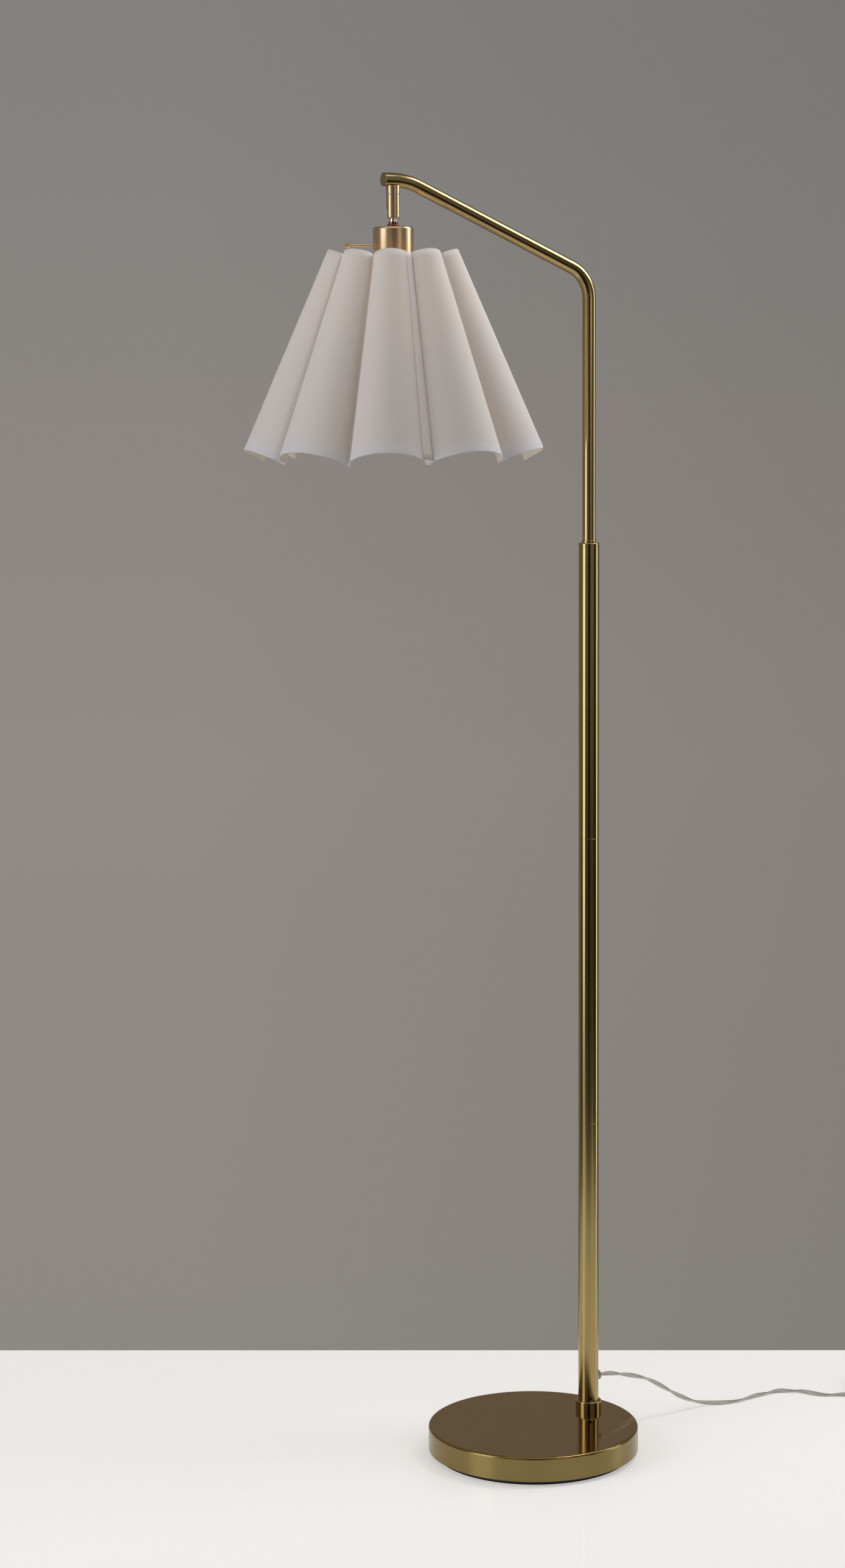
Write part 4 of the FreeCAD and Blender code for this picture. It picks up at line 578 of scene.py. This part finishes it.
# %% Dressing
DRESS = {
    tube_brass: "foot_collar pole_lower pole_middle pole_upper reducer_cap swing_collar arm_end_cap",
    bent_brass: "arm_tube",
    cover_brass: "base_shell",
    cup_brass: "swivel_collar swivel_housing socket_cup cup_screw",
    rod_brass: "switch_stem",
    copper_ring: "stud_ring",
    bright_steel: "ball_stud screw_shell centre_contact",
    zinc_steel: "base_stem base_washer base_nut foot_insert lower_coupler upper_coupler swivel_nipple "
    "saddle_nut stud_nut socket_bridge bridge_screws plug_blades",
    cast_iron: "base_weight",
    black_enamel: "base_underplate grub_screw",
    pad_rubber: "foot_pad",
    white_enamel: "shade_fitter shade_top_ring shade_bottom_ring",
    black_phenolic: "ball_seat socket_body shade_nut_upper shade_nut_lower bulb_tip cord_tie",
    opal_glass: "bulb_globe",
    cap_aluminium: "bulb_cap",
    jacket_pvc: "cord_grommet plug_body pole_lead arm_lead head_lead",
}
REPLACED = {"shade", "seam_strip", "cord_run", "cord_coil", "switch_knob"}

for finish, names in DRESS.items():
    for name in names.split():
        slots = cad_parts[name].data.materials
        slots.clear()
        slots.append(finish)
dressed = set(" ".join(DRESS.values()).split())
print("pieces left undressed:", sorted(set(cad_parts) - dressed - REPLACED))

# %% [markdown]
# ## The lead on the floor
#
# The lamp is fed by a clear flat twin lead that is twisted along its length, so that its two conductors
# show as silver threads that cross in the clear jacket. It leaves the pole through a clear bush, falls
# to the floor in easy waves, and the length that isn't needed lies wound up with its plug beside it. A
# twin lead could be two thin tubes wound round each other, but the jacket is one piece with a groove,
# so its real section, a figure of eight, is carried along the route and turned as it goes.

# %% The lead's route
LEAD_WIDTH = 5.6 * MM
ROUTE = [  # listed, in metres
    (0.0280, 0.0000, 0.0756),
    (0.0470, 0.0025, 0.0705),
    (0.0690, 0.0085, 0.0635),
    (0.0950, 0.0132, 0.0543),
    (0.1260, 0.0180, 0.0335),
    (0.1575, 0.0235, 0.0140),
    (0.1880, 0.0295, 0.0028),
    (0.2160, 0.0190, 0.0028),
    (0.2515, 0.0225, 0.0028),
    (0.2880, 0.0305, 0.0028),
    (0.3200, 0.0205, 0.0028),
    (0.3320, -0.0070, 0.0028),
    (0.3635, -0.0260, 0.0028),
]
EXIT = Vector((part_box("cord_grommet")[1].x, 0, ROUTE[0][2]))
COIL_CENTRE = Vector((0.4300, -0.0125, 0))
COIL_START_ANGLE = -122.0
COIL_RADIUS = 42.0 * MM
COIL_PITCH = 6.1 * MM
COIL_TURNS = 3.25
COIL_LEVEL = 3.7 * MM
COIL_LEAD_IN = 18.0 * MM
COIL_TAIL = 26.0 * MM
POINTS_PER_TURN = 16


def coil_point(turns):
    """The coil's centreline after this many turns: in, up a layer, and out again."""
    inner = COIL_RADIUS - COIL_PITCH * COIL_TURNS
    level = COIL_LEVEL
    if turns <= COIL_TURNS:
        radius = COIL_RADIUS - COIL_PITCH * turns
    elif turns <= COIL_TURNS + 0.5:
        climb = (turns - COIL_TURNS) * 2
        radius = inner - COIL_PITCH / (2 * math.pi) * math.sin(math.pi * climb)
        level += COIL_PITCH * (climb - math.sin(2 * math.pi * climb) / (2 * math.pi))
    else:
        radius = inner + COIL_PITCH * (turns - COIL_TURNS - 0.5)
        level += COIL_PITCH
    spot = COIL_CENTRE + direction(COIL_START_ANGLE + 360 * turns) * radius
    spot.z = level
    return spot


all_turns = 2 * COIL_TURNS + 0.5
degree = 1 / 360
heading_in = (coil_point(degree) - coil_point(0)).normalized()
heading_out = (coil_point(all_turns) - coil_point(all_turns - degree)).normalized()
coil_first = coil_point(0) - heading_in * LEAD_WIDTH
coil_count = round(all_turns * POINTS_PER_TURN)
lead_points = [EXIT] + [Vector(point) for point in ROUTE]
lead_points += [coil_first - heading_in * COIL_LEAD_IN, coil_first]
lead_points += [coil_point(all_turns * i / coil_count) for i in range(coil_count + 1)]
lead_points += [coil_point(all_turns) + heading_out * COIL_TAIL]
print("points on the lead's route:", len(lead_points))


# %% The lead's centreline
def spline_path(points):
    """Points along the smooth line that these control points draw."""
    curve = bpy.data.curves.new("route", "CURVE")
    curve.dimensions = "3D"
    spline = curve.splines.new("NURBS")
    spline.points.add(len(points) - 1)
    for place, point in zip(spline.points, points):
        place.co = (*point, 1)
    spline.order_u = 3
    spline.use_endpoint_u = True
    spline.resolution_u = 8
    holder = new_piece("route", curve)
    graph = bpy.context.evaluated_depsgraph_get()
    line = bpy.data.meshes.new_from_object(holder.evaluated_get(graph))
    path = [vertex.co.copy() for vertex in line.vertices]
    bpy.data.objects.remove(holder)
    bpy.data.meshes.remove(line)
    return path


def distances(path):
    """How far along the path each of its points lies."""
    run = [0.0]
    for one, other in zip(path, path[1:]):
        run.append(run[-1] + (other - one).length)
    return run


lead_path = spline_path(lead_points)
lead_run = distances(lead_path)
print("lead length in metres:", round(lead_run[-1], 3), "in", len(lead_path), "points")


# %% A section carried along a path
def sweep(name, path, section, material):
    """A closed tube: section(i) gives the ring of (side, up) offsets at the path's point i."""
    build = bmesh.new()
    sheet = build.loops.layers.uv.new("UVMap")
    run = distances(path)
    rings = []
    for i, point in enumerate(path):
        ahead = path[min(i + 1, len(path) - 1)] - path[max(i - 1, 0)]
        side = ahead.cross(Vector((0, 0, 1))).normalized()
        up = side.cross(ahead).normalized()
        rings.append([build.verts.new(point + side * a + up * b) for a, b in section(i)])
    count = len(rings[0])
    around = distances([Vector((a, b, 0)) for a, b in section(0)] + [Vector((*section(0)[0], 0))])
    for i in range(len(rings) - 1):
        for k in range(count):
            after = (k + 1) % count
            face = build.faces.new((rings[i][k], rings[i + 1][k], rings[i + 1][after], rings[i][after]))
            face.smooth = True
            corners = ((k, i), (k, i + 1), (k + 1, i + 1), (k + 1, i))
            for loop, (across, along) in zip(face.loops, corners):
                loop[sheet].uv = (around[across], run[along])
    build.faces.new(rings[0])
    build.faces.new(rings[-1][::-1])
    bmesh.ops.recalc_face_normals(build, faces=build.faces)
    mesh = bpy.data.meshes.new(name)
    build.to_mesh(mesh)
    build.free()
    return new_piece(name, mesh, material)


print("mean step along the lead in mm:", round(lead_run[-1] / (len(lead_path) - 1) / MM, 2))

# %% [markdown]
# ## The jacket and its conductors
#
# The jacket is extruded round both conductors at once and is 5.6 mm wide and half as thick, with a
# groove to tear it along. On the floor a twisted flat lead can't float: where it lies flat its middle is
# lower than where it stands on edge, so its middle is let down to touch. Each conductor is a bundle of
# tinned copper strands, modelled as one thin tube whose material draws the strands.

# %% How the lead turns as it goes
THICK = LEAD_WIDTH / 2
HALF_TWIST = 46 * MM
TWIST_START = 0.35
TWIST_WAVES = ((0.7, 61 * MM), (0.4, 23 * MM))
COILED = 1.42  # metres at the end of the lead that keep the coil's own levels
NEAR_FLOOR = 0.5 * MM
floor_level = min(point[2] for point in ROUTE)
coil_from = lead_run[-1] - COILED


def twist(run):
    """The section's turn from level: a half turn every 46 mm, hurried and slowed by two waves."""
    waves = sum(turn * math.sin(run / length) for turn, length in TWIST_WAVES)
    return TWIST_START + math.pi * run / HALF_TWIST + waves


def settled(path, run):
    """The path, lowered where the lead lies flat on the floor."""
    done = []
    for point, gone in zip(path, run):
        on_floor = gone < coil_from and point.z < floor_level + NEAR_FLOOR
        drop = THICK / 2 * (1 - abs(math.sin(twist(gone)))) if on_floor else 0
        done.append(point - Vector((0, 0, drop)))
    return done


def soften(path, rounds=6):
    """Evens out small steps in height along the path."""
    for _ in range(rounds):
        levels = [point.z for point in path]
        for i in range(1, len(path) - 1):
            path[i].z = (levels[i - 1] + 2 * levels[i] + levels[i + 1]) / 4
    return path


def kept_up(path, run):
    """Lifts any point where the turned section would dip into the floor."""
    for point, gone in zip(path, run):
        point.z = max(point.z, THICK / 2 * (1 + abs(math.sin(twist(gone)))))
    return path


lead_line = kept_up(soften(settled(lead_path, lead_run)), lead_run)
print("lowest point of the line in mm:", round(min(point.z for point in lead_line) / MM, 2))


# %% The jacket and its conductors
CONDUCTOR_RADIUS = 0.9 * MM
GROOVE_ANGLE = 40  # degrees of each round, to either side, that open into the groove
ROUND_STEPS = 9


def turned_by(points, angle):
    """A section's points, turned about its middle."""
    cosine, sine = math.cos(angle), math.sin(angle)
    return [(a * cosine - b * sine, a * sine + b * cosine) for a, b in points]


def figure_of_eight():
    """The jacket's outline: two rounds that meet in a groove."""
    radius = THICK / 2
    first, step = GROOVE_ANGLE - 180, (360 - 2 * GROOVE_ANGLE) / ROUND_STEPS
    turns = [math.radians(first + step * i) for i in range(ROUND_STEPS + 1)]
    right = [(radius + radius * math.cos(turn), radius * math.sin(turn)) for turn in turns]
    return right + [(-a, -b) for a, b in right]


def ring_at(centre, radius, count):
    """A small round section with its centre this far across."""
    turns = [2 * math.pi * i / count for i in range(count)]
    return [(centre + radius * math.cos(turn), radius * math.sin(turn)) for turn in turns]


def swept_lead(name, outline, material):
    """A section carried along the lead and turned with its twist."""
    return sweep(name, lead_line, lambda i: turned_by(outline, twist(lead_run[i])), material)


jacket = swept_lead("lead_jacket", figure_of_eight(), jacket_pvc)
conductors = [
    swept_lead(f"lead_conductor_{number}", ring_at(side * THICK / 2, CONDUCTOR_RADIUS, 8), tinned_copper)
    for number, side in enumerate((-1, 1), 1)
]
print("faces in the jacket:", len(jacket.data.polygons))

# %% [markdown]
# ## The shade's cloth
#
# The shade is a fan of stiffened crepe: ten rounded lobes, drawn in between by deep pressed folds, sewn
# to a small ring at the top and a large one at the bottom. Draping it by simulation would lose what a
# factory presses into it, so it is drawn as the pattern cutter does: both rims are laid out lobe by lobe
# and straight threads join them. The hem is a doubled band, the folds' corners are rounded by the
# thickness of the cloth, and a faint unevenness keeps the lobes from looking machined.

# %% The shade's sizes
LOBES = 10
SEAM_VALLEY = 3
CLOTH = 0.8 * MM
RIM_SLOPE = 0.58
shade_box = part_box("shade")
# On each rim the lobes reach out to peak, the folds open this far in (crease) and go this much deeper
# (fold), with these half widths at their mouth and end. The turns are in degrees, and one fold, the
# seam, has its own.
rims = {
    "top": dict(
        level=shade_box[1].z, peak=76.6 * MM, crease=7.4 * MM, fold=3.8 * MM,
        mouth=2.5 * MM, end=1.2 * MM, seam_mouth=2.7 * MM, seam_end=1.3 * MM, turn=-1.3, seam_turn=-1.1,
    ),
    "bottom": dict(
        level=shade_box[0].z, peak=176.3 * MM, crease=17.1 * MM, fold=9.8 * MM,
        mouth=6.0 * MM, end=1.8 * MM, seam_mouth=4.9 * MM, seam_end=2.1 * MM, turn=-1.8, seam_turn=-1.8,
    ),
}
bottom = rims["bottom"]  # the box ends at this rim's folds, which hang lower than its lobes
bottom["level"] += RIM_SLOPE * (bottom["crease"] + bottom["fold"])
print("shade's rims in mm:", [round(rim["level"] / MM, 1) for rim in rims.values()])


# %% One rim, lobe by lobe
def valley_angle(rim, valley):
    """The direction of a fold on a rim, in degrees."""
    own = rim["seam_turn"] if valley % LOBES == SEAM_VALLEY else 0
    return HEAD_ANGLE + rim["turn"] + own + 360 * valley / LOBES


def rim_spot(rim, angle, radius, across):
    """A spot on the rim: so far out from the head's axis, so far across that line, and at its level."""
    out = direction(angle)
    spot = HEAD + out * radius + Vector((-out.y, out.x, 0)) * across
    spot.z = rim["level"] - RIM_SLOPE * (rim["peak"] - radius)
    return spot


def arc_through(start, top, finish, share):
    """A point on the arc through three points; share runs from 0 at its start to 1 at its finish."""
    chord = (finish - start) / 2
    middle = start + chord
    rise = top - middle
    half, height = chord.length, rise.length
    radius = (half * half + height * height) / (2 * height)
    reach = math.asin(min(1.0, half / radius))
    angle = reach * (2 * share - 1)
    out = rise.normalized()
    centre = top - out * radius
    return centre + out * radius * math.cos(angle) + chord.normalized() * radius * math.sin(angle)


LOBE_STEPS = 22
FOLD_STEPS = 3


def rim_points(rim):
    """The rim's points in order: each lobe's arc, then in and out of the fold after it."""
    peak, crease = rim["peak"], rim["peak"] - rim["crease"]
    deep = crease - rim["fold"]
    points = []
    for valley in range(LOBES):
        seam, next_seam = valley == SEAM_VALLEY, (valley + 1) % LOBES == SEAM_VALLEY
        mouth = rim["seam_mouth" if seam else "mouth"]
        next_mouth = rim["seam_mouth" if next_seam else "mouth"]
        next_end = rim["seam_end" if next_seam else "end"]
        one, other = valley_angle(rim, valley), valley_angle(rim, valley + 1)
        start = rim_spot(rim, one, crease, mouth)
        top = rim_spot(rim, (one + other) / 2, peak, 0)
        finish = rim_spot(rim, other, crease, -next_mouth)
        deep_in = rim_spot(rim, other, deep, -next_end)
        deep_out = rim_spot(rim, other, deep, next_end)
        out = rim_spot(rim, other, crease, next_mouth)
        points += [arc_through(start, top, finish, i / LOBE_STEPS) for i in range(LOBE_STEPS + 1)]
        points += [finish.lerp(deep_in, i / FOLD_STEPS) for i in range(1, FOLD_STEPS)]
        points += [deep_in, deep_out]
        points += [deep_out.lerp(out, i / FOLD_STEPS) for i in range(1, FOLD_STEPS)]
    return points


top_rim, bottom_rim = rim_points(rims["top"]), rim_points(rims["bottom"])
slant = sum((b - t).length for t, b in zip(top_rim, bottom_rim)) / len(top_rim)
girths = [distances(rim + rim[:1])[-1] for rim in (top_rim, bottom_rim)]
print("cloth: slant and girths in mm:", [round(size / MM) for size in (slant, *girths)])

# %% The cloth
HEM_STEP = 0.15 * MM
UNEVEN = 0.15 * MM
UNEVEN_PER_METRE = 22
HELD_FLAT = 20 * MM  # the rings hold the cloth even this far from either rim
ROW = 8 * MM


def cloth_rows():
    """Distances of the rows from the bottom edge, close together where the hem steps back."""
    rows = [0, 1 * MM, HEM - 1 * MM, HEM, HEM + 1 * MM]
    count = math.ceil((slant - rows[-1] - ROW / 2) / ROW)
    return rows + [rows[-1] + (slant - rows[-1]) * i / count for i in range(1, count + 1)]


def cloth_point(top, bottom, up):
    """The point this far up the thread between two rim points."""
    point = bottom.lerp(top, up / slant)
    out = (point - HEAD) * Vector((1, 1, 0))
    out.normalize()
    share = min(1, up / HELD_FLAT) * min(1, (slant - up) / HELD_FLAT)
    lift = UNEVEN * share * noise.noise(point * UNEVEN_PER_METRE)
    if up < HEM:
        lift += HEM_STEP
    return point + out * lift


def make_cloth():
    """The cloth as one thin sheet: threads between the rims, with its UV map in true metres."""
    build = bmesh.new()
    sheet = build.loops.layers.uv.new("UVMap")
    rows = cloth_rows()
    count = len(bottom_rim)
    narrower = sum(girths) / 2 / girths[1]
    width = [run * narrower for run in distances(bottom_rim + bottom_rim[:1])]
    grid = [[build.verts.new(cloth_point(t, b, up)) for t, b in zip(top_rim, bottom_rim)] for up in rows]
    for i in range(len(rows) - 1):
        for k in range(count):
            after = (k + 1) % count
            face = build.faces.new((grid[i][k], grid[i][after], grid[i + 1][after], grid[i + 1][k]))
            face.smooth = True
            corners = ((k, i), (k + 1, i), (k + 1, i + 1), (k, i + 1))
            for loop, (across, up) in zip(face.loops, corners):
                loop[sheet].uv = (width[across], rows[up])
    mesh = bpy.data.meshes.new("shade_cloth")
    build.to_mesh(mesh)
    build.free()
    return mesh


cloth = new_piece("shade_cloth", make_cloth(), shade_crepe)
cloth.data.materials.append(lining)
rounded = cloth.modifiers.new("pressed corners", "BEVEL")
rounded.limit_method = "ANGLE"
rounded.angle_limit = math.radians(32)
rounded.width = 0.7 * MM
rounded.segments = 2
thick = cloth.modifiers.new("thickness", "SOLIDIFY")
thick.thickness = CLOTH
thick.offset = -1
thick.material_offset = 1
apply_modifiers(cloth)
print("faces in the cloth:", len(cloth.data.polygons))

# %% [markdown]
# ## The seam and its stitches
#
# One fold is where the fan of cloth was closed: a folded band lies over its mouth with its tail tucked
# in, and is sewn down along one edge. The stitches repeat along a path, which is what Geometry Nodes do
# well: the path is cut into equal steps, a short thread is laid along each, and the spacing stays right
# whatever the length.

# %% The seam band
BAND = 0.6 * MM
BAND_GAP = 0.1 * MM
BAND_CROWN = 0.5 * MM
LEAN = 0.7  # how far the loose edge moves over to the lobe, as a share of the mouth
FLANK_RISE = 0.84  # how steeply the lobe's flank rises from the mouth
TAIL_GAP = 0.3 * MM
TAIL_DEPTH = 0.8  # a share of the fold's depth
BAND_STEPS = 10
BAND_ROWS = 30


def band_face(rim, across, lift=0):
    """A spot of the band's face on a rim, as (across, radius).

    One edge is sewn into the fold, and the other leans on the flank of the lobe beside it."""
    reach = rim["seam_mouth"] - BAND_GAP
    lean = reach * LEAN * (1 - across) / 2
    crown = BAND_CROWN * (1 - across * across)
    return across * reach - lean, rim["peak"] - rim["crease"] + crown + lean * FLANK_RISE + lift


def band_section(rim):
    """The whole outline of the band on a rim: its face, then its tail, which is tucked into the fold."""
    face = [band_face(rim, -1 + 2 * i / BAND_STEPS) for i in range(BAND_STEPS + 1)]
    reach, level = face[-1][0], rim["peak"] - rim["crease"] - BAND
    tail, deep = rim["seam_end"] - TAIL_GAP, level - TAIL_DEPTH * rim["fold"]
    under = (face[0][0], face[0][1] - BAND)
    return face + [(reach, level), (tail, deep), (-tail, deep), (-reach, level), under]


def band_spot(share, low, high):
    """A spot this share of the way from one (across, radius) on the bottom rim to one on the top."""
    ends = []
    for rim, (across, radius) in ((rims["bottom"], low), (rims["top"], high)):
        ends.append(rim_spot(rim, valley_angle(rim, SEAM_VALLEY), radius, across))
    return ends[0].lerp(ends[1], share)


def make_band():
    """The band as a closed solid: its section on the bottom rim, carried up to the one on the top."""
    build = bmesh.new()
    sheet = build.loops.layers.uv.new("UVMap")
    low, high = band_section(rims["bottom"]), band_section(rims["top"])
    rings = [
        [build.verts.new(band_spot(i / BAND_ROWS, *pair)) for pair in zip(low, high)]
        for i in range(BAND_ROWS + 1)
    ]
    for i in range(BAND_ROWS):
        for k in range(len(low)):
            after = (k + 1) % len(low)
            face = build.faces.new((rings[i][k], rings[i][after], rings[i + 1][after], rings[i + 1][k]))
            face.smooth = k < BAND_STEPS
            corners = ((k, i), (after, i), (after, i + 1), (k, i + 1))
            for loop, (wide, up) in zip(face.loops, corners):
                loop[sheet].uv = (low[wide][0], slant * up / BAND_ROWS)
    build.faces.new(rings[0][::-1])
    build.faces.new(rings[-1])
    bmesh.ops.recalc_face_normals(build, faces=build.faces)
    mesh = bpy.data.meshes.new("seam_band")
    build.to_mesh(mesh)
    build.free()
    return mesh


band = new_piece("seam_band", make_band(), painted_light_band_crepe)
print("vertices in the band:", len(band.data.vertices))


# %% A tree that lays stitches along a path
def start_tree(name, inputs):
    """A geometry tree that gives back one geometry, and the sockets of its named inputs."""
    tree = bpy.data.node_groups.new(name, "GeometryNodeTree")
    for label, kind in inputs.items():
        tree.interface.new_socket(label, in_out="INPUT", socket_type="NodeSocket" + kind)
    tree.interface.new_socket("Geometry", in_out="OUTPUT", socket_type="NodeSocketGeometry")
    return tree, add(tree, "NodeGroupInput").outputs


def stitch_tree():
    """Threads of one length, evenly spaced along the mesh edges that the tree is given."""
    tree, given = start_tree("stitches", {
        "Path": "Geometry",
        "Spacing": "Float",
        "Thread length": "Float",
        "Thread radius": "Float",
        "Thread": "Material",
    })
    line = add(tree, "GeometryNodeMeshToCurve", {"Mesh": given["Path"]}).outputs[0]
    spots = {"Curve": line, "Length": given["Spacing"]}
    spots = add(tree, "GeometryNodeResampleCurve", spots, mode="LENGTH").outputs[0]
    along = add(tree, "GeometryNodeInputTangent").outputs[0]
    turn = add(tree, "FunctionNodeAlignRotationToVector", {"Vector": along}, axis="Z").outputs[0]
    stitch = {"Vertices": 6, "Radius": given["Thread radius"], "Depth": given["Thread length"]}
    stitch = add(tree, "GeometryNodeMeshCylinder", stitch).outputs[0]
    laid = {"Points": spots, "Instance": stitch, "Rotation": turn}
    laid = add(tree, "GeometryNodeInstanceOnPoints", laid).outputs[0]
    real = add(tree, "GeometryNodeRealizeInstances", {"Geometry": laid}).outputs[0]
    sewn = {"Geometry": real, "Material": given["Thread"]}
    sewn = add(tree, "GeometryNodeSetMaterial", sewn).outputs[0]
    add(tree, "NodeGroupOutput", {"Geometry": sewn})
    return tree


def grow(piece, tree, **sizes):
    """Runs a geometry tree on a piece with these inputs and keeps the plain mesh."""
    modifier = piece.modifiers.new(tree.name, "NODES")
    modifier.node_group = tree
    for socket in tree.interface.items_tree:
        name = socket.name.lower().replace(" ", "_")
        if socket.in_out == "INPUT" and name in sizes:
            modifier[socket.identifier] = sizes[name]
    return apply_modifiers(piece)


def path_mesh(name, points):
    """A chain of edges for a tree to follow."""
    mesh = bpy.data.meshes.new(name)
    mesh.from_pydata(points, [(i, i + 1) for i in range(len(points) - 1)], [])
    return mesh


SEWN_ACROSS = 0.86
SEWN_LIFT = 0.15 * MM
sewn_ends = [band_face(rims[end], SEWN_ACROSS, SEWN_LIFT) for end in ("bottom", "top")]
sewn_line = [band_spot(i / BAND_ROWS, *sewn_ends) for i in range(BAND_ROWS + 1)]
stitches = new_piece("seam_stitches", path_mesh("seam_stitches", sewn_line))
grow(
    stitches,
    stitch_tree(),
    spacing=3.4 * MM,
    thread_length=1.3 * MM,
    thread_radius=0.24 * MM,
    thread=thread,
)
print("faces in the stitches:", len(stitches.data.polygons))

# %% [markdown]
# ## The switch knob
#
# The knob is turned from brass rod, domed at its end, and knurled so that two fingers can grip it. The
# body of the knob is a profile spun round its axis; the ribs are one small ridge repeated round it.

# %% The knob
KNOB_RADIUS = 2.6 * MM
KNOB_REACH = 56.3 * MM  # from the head's axis to the end of the knob
KNOB_LENGTH = 6.8 * MM
KNOB_CHAMFER = 0.35 * MM
KNOB_DOME = 1.3 * MM
DOME_SHOULDER = 0.3 * MM
SWITCH_LEVEL = 1448.0 * MM
switch_way = direction(HEAD_ANGLE)
switch_start = HEAD + Vector((0, 0, SWITCH_LEVEL))


def spun(name, profile, start, way, material, steps=48):
    """A closed solid of revolution: profile points are (distance along the axis, radius)."""
    build = bmesh.new()
    side = way.orthogonal().normalized()
    verts = [build.verts.new(start + way * along + side * radius) for along, radius in profile]
    edges = [build.edges.new(pair) for pair in zip(verts, verts[1:])]
    bmesh.ops.spin(
        build, geom=verts + edges, cent=start, axis=way, angle=2 * math.pi, steps=steps, use_merge=True
    )
    bmesh.ops.remove_doubles(build, verts=build.verts, dist=0.001 * MM)
    bmesh.ops.recalc_face_normals(build, faces=build.faces)
    for face in build.faces:
        face.smooth = True
    mesh = bpy.data.meshes.new(name)
    build.to_mesh(mesh)
    build.free()
    return new_piece(name, mesh, material)


def dome(reach, radius, height, steps=6):
    """Profile points of a domed end that stands this high."""
    turns = [math.pi / 2 * i / steps for i in range(steps + 1)]
    return [(reach - height + height * math.sin(t), radius * math.cos(t)) for t in turns]


knob_start = KNOB_REACH - KNOB_LENGTH
profile = [
    (knob_start, 0),
    (knob_start, KNOB_RADIUS - KNOB_CHAMFER),
    (knob_start + KNOB_CHAMFER, KNOB_RADIUS),
    (KNOB_REACH - KNOB_DOME - DOME_SHOULDER, KNOB_RADIUS),
    *dome(KNOB_REACH, KNOB_RADIUS, KNOB_DOME),
]
knob = spun("knob", profile, switch_start, switch_way, knob_brass)
print("knob's faces:", len(knob.data.polygons))


# %% The knob's ribs
RIBS = 20
RIB_RADIUS = 0.28 * MM
RIB_SUNK = 0.08 * MM
RIB_START = 0.6 * MM
RIB_END = 2.0 * MM


def rib_tree():
    """Ribs of one length, stood round an axis and joined to the piece they grip."""
    tree, given = start_tree("ribs", {
        "Body": "Geometry",
        "Count": "Int",
        "Ring radius": "Float",
        "Rib radius": "Float",
        "Rib length": "Float",
        "Middle": "Vector",
        "Axis": "Vector",
        "Metal": "Material",
    })
    ring = {"Vertices": given["Count"], "Radius": given["Ring radius"]}
    ring = add(tree, "GeometryNodeMeshCircle", ring).outputs[0]
    rib = {"Vertices": 8, "Radius": given["Rib radius"], "Depth": given["Rib length"]}
    rib = add(tree, "GeometryNodeMeshCylinder", rib).outputs[0]
    ribs = add(tree, "GeometryNodeInstanceOnPoints", {"Points": ring, "Instance": rib}).outputs[0]
    real = add(tree, "GeometryNodeRealizeInstances", {"Geometry": ribs}).outputs[0]
    turn = add(tree, "FunctionNodeAlignRotationToVector", {"Vector": given["Axis"]}, axis="Z").outputs[0]
    placed = {"Geometry": real, "Translation": given["Middle"], "Rotation": turn}
    placed = add(tree, "GeometryNodeTransform", placed).outputs[0]
    gripped = add(tree, "GeometryNodeJoinGeometry")
    for part in (placed, given["Body"]):
        tree.links.new(part, gripped.inputs[0])
    turned = {"Geometry": gripped.outputs[0], "Material": given["Metal"]}
    turned = add(tree, "GeometryNodeSetMaterial", turned).outputs[0]
    add(tree, "NodeGroupOutput", {"Geometry": turned})
    return tree


rib_length = KNOB_LENGTH - RIB_START - RIB_END
grow(
    knob,
    rib_tree(),
    count=RIBS,
    ring_radius=KNOB_RADIUS - RIB_SUNK,
    rib_radius=RIB_RADIUS,
    rib_length=rib_length,
    middle=switch_start + switch_way * (knob_start + RIB_START + rib_length / 2),
    axis=switch_way,
    metal=knob_brass,
)
print("knob's faces with its ribs:", len(knob.data.polygons))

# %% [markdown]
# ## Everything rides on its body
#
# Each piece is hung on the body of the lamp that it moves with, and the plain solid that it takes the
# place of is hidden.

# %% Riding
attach(jacket, "base")
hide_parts("cord_run", "cord_coil")
for conductor in conductors:
    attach(conductor, "base")
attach(cloth, "head")
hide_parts("shade")
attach(band, "head")
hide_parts("seam_strip")
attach(stitches, "head")
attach(knob, "switch")
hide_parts("switch_knob")
print("new pieces:", [piece.name for piece in (jacket, *conductors, cloth, band, stitches, knob)])
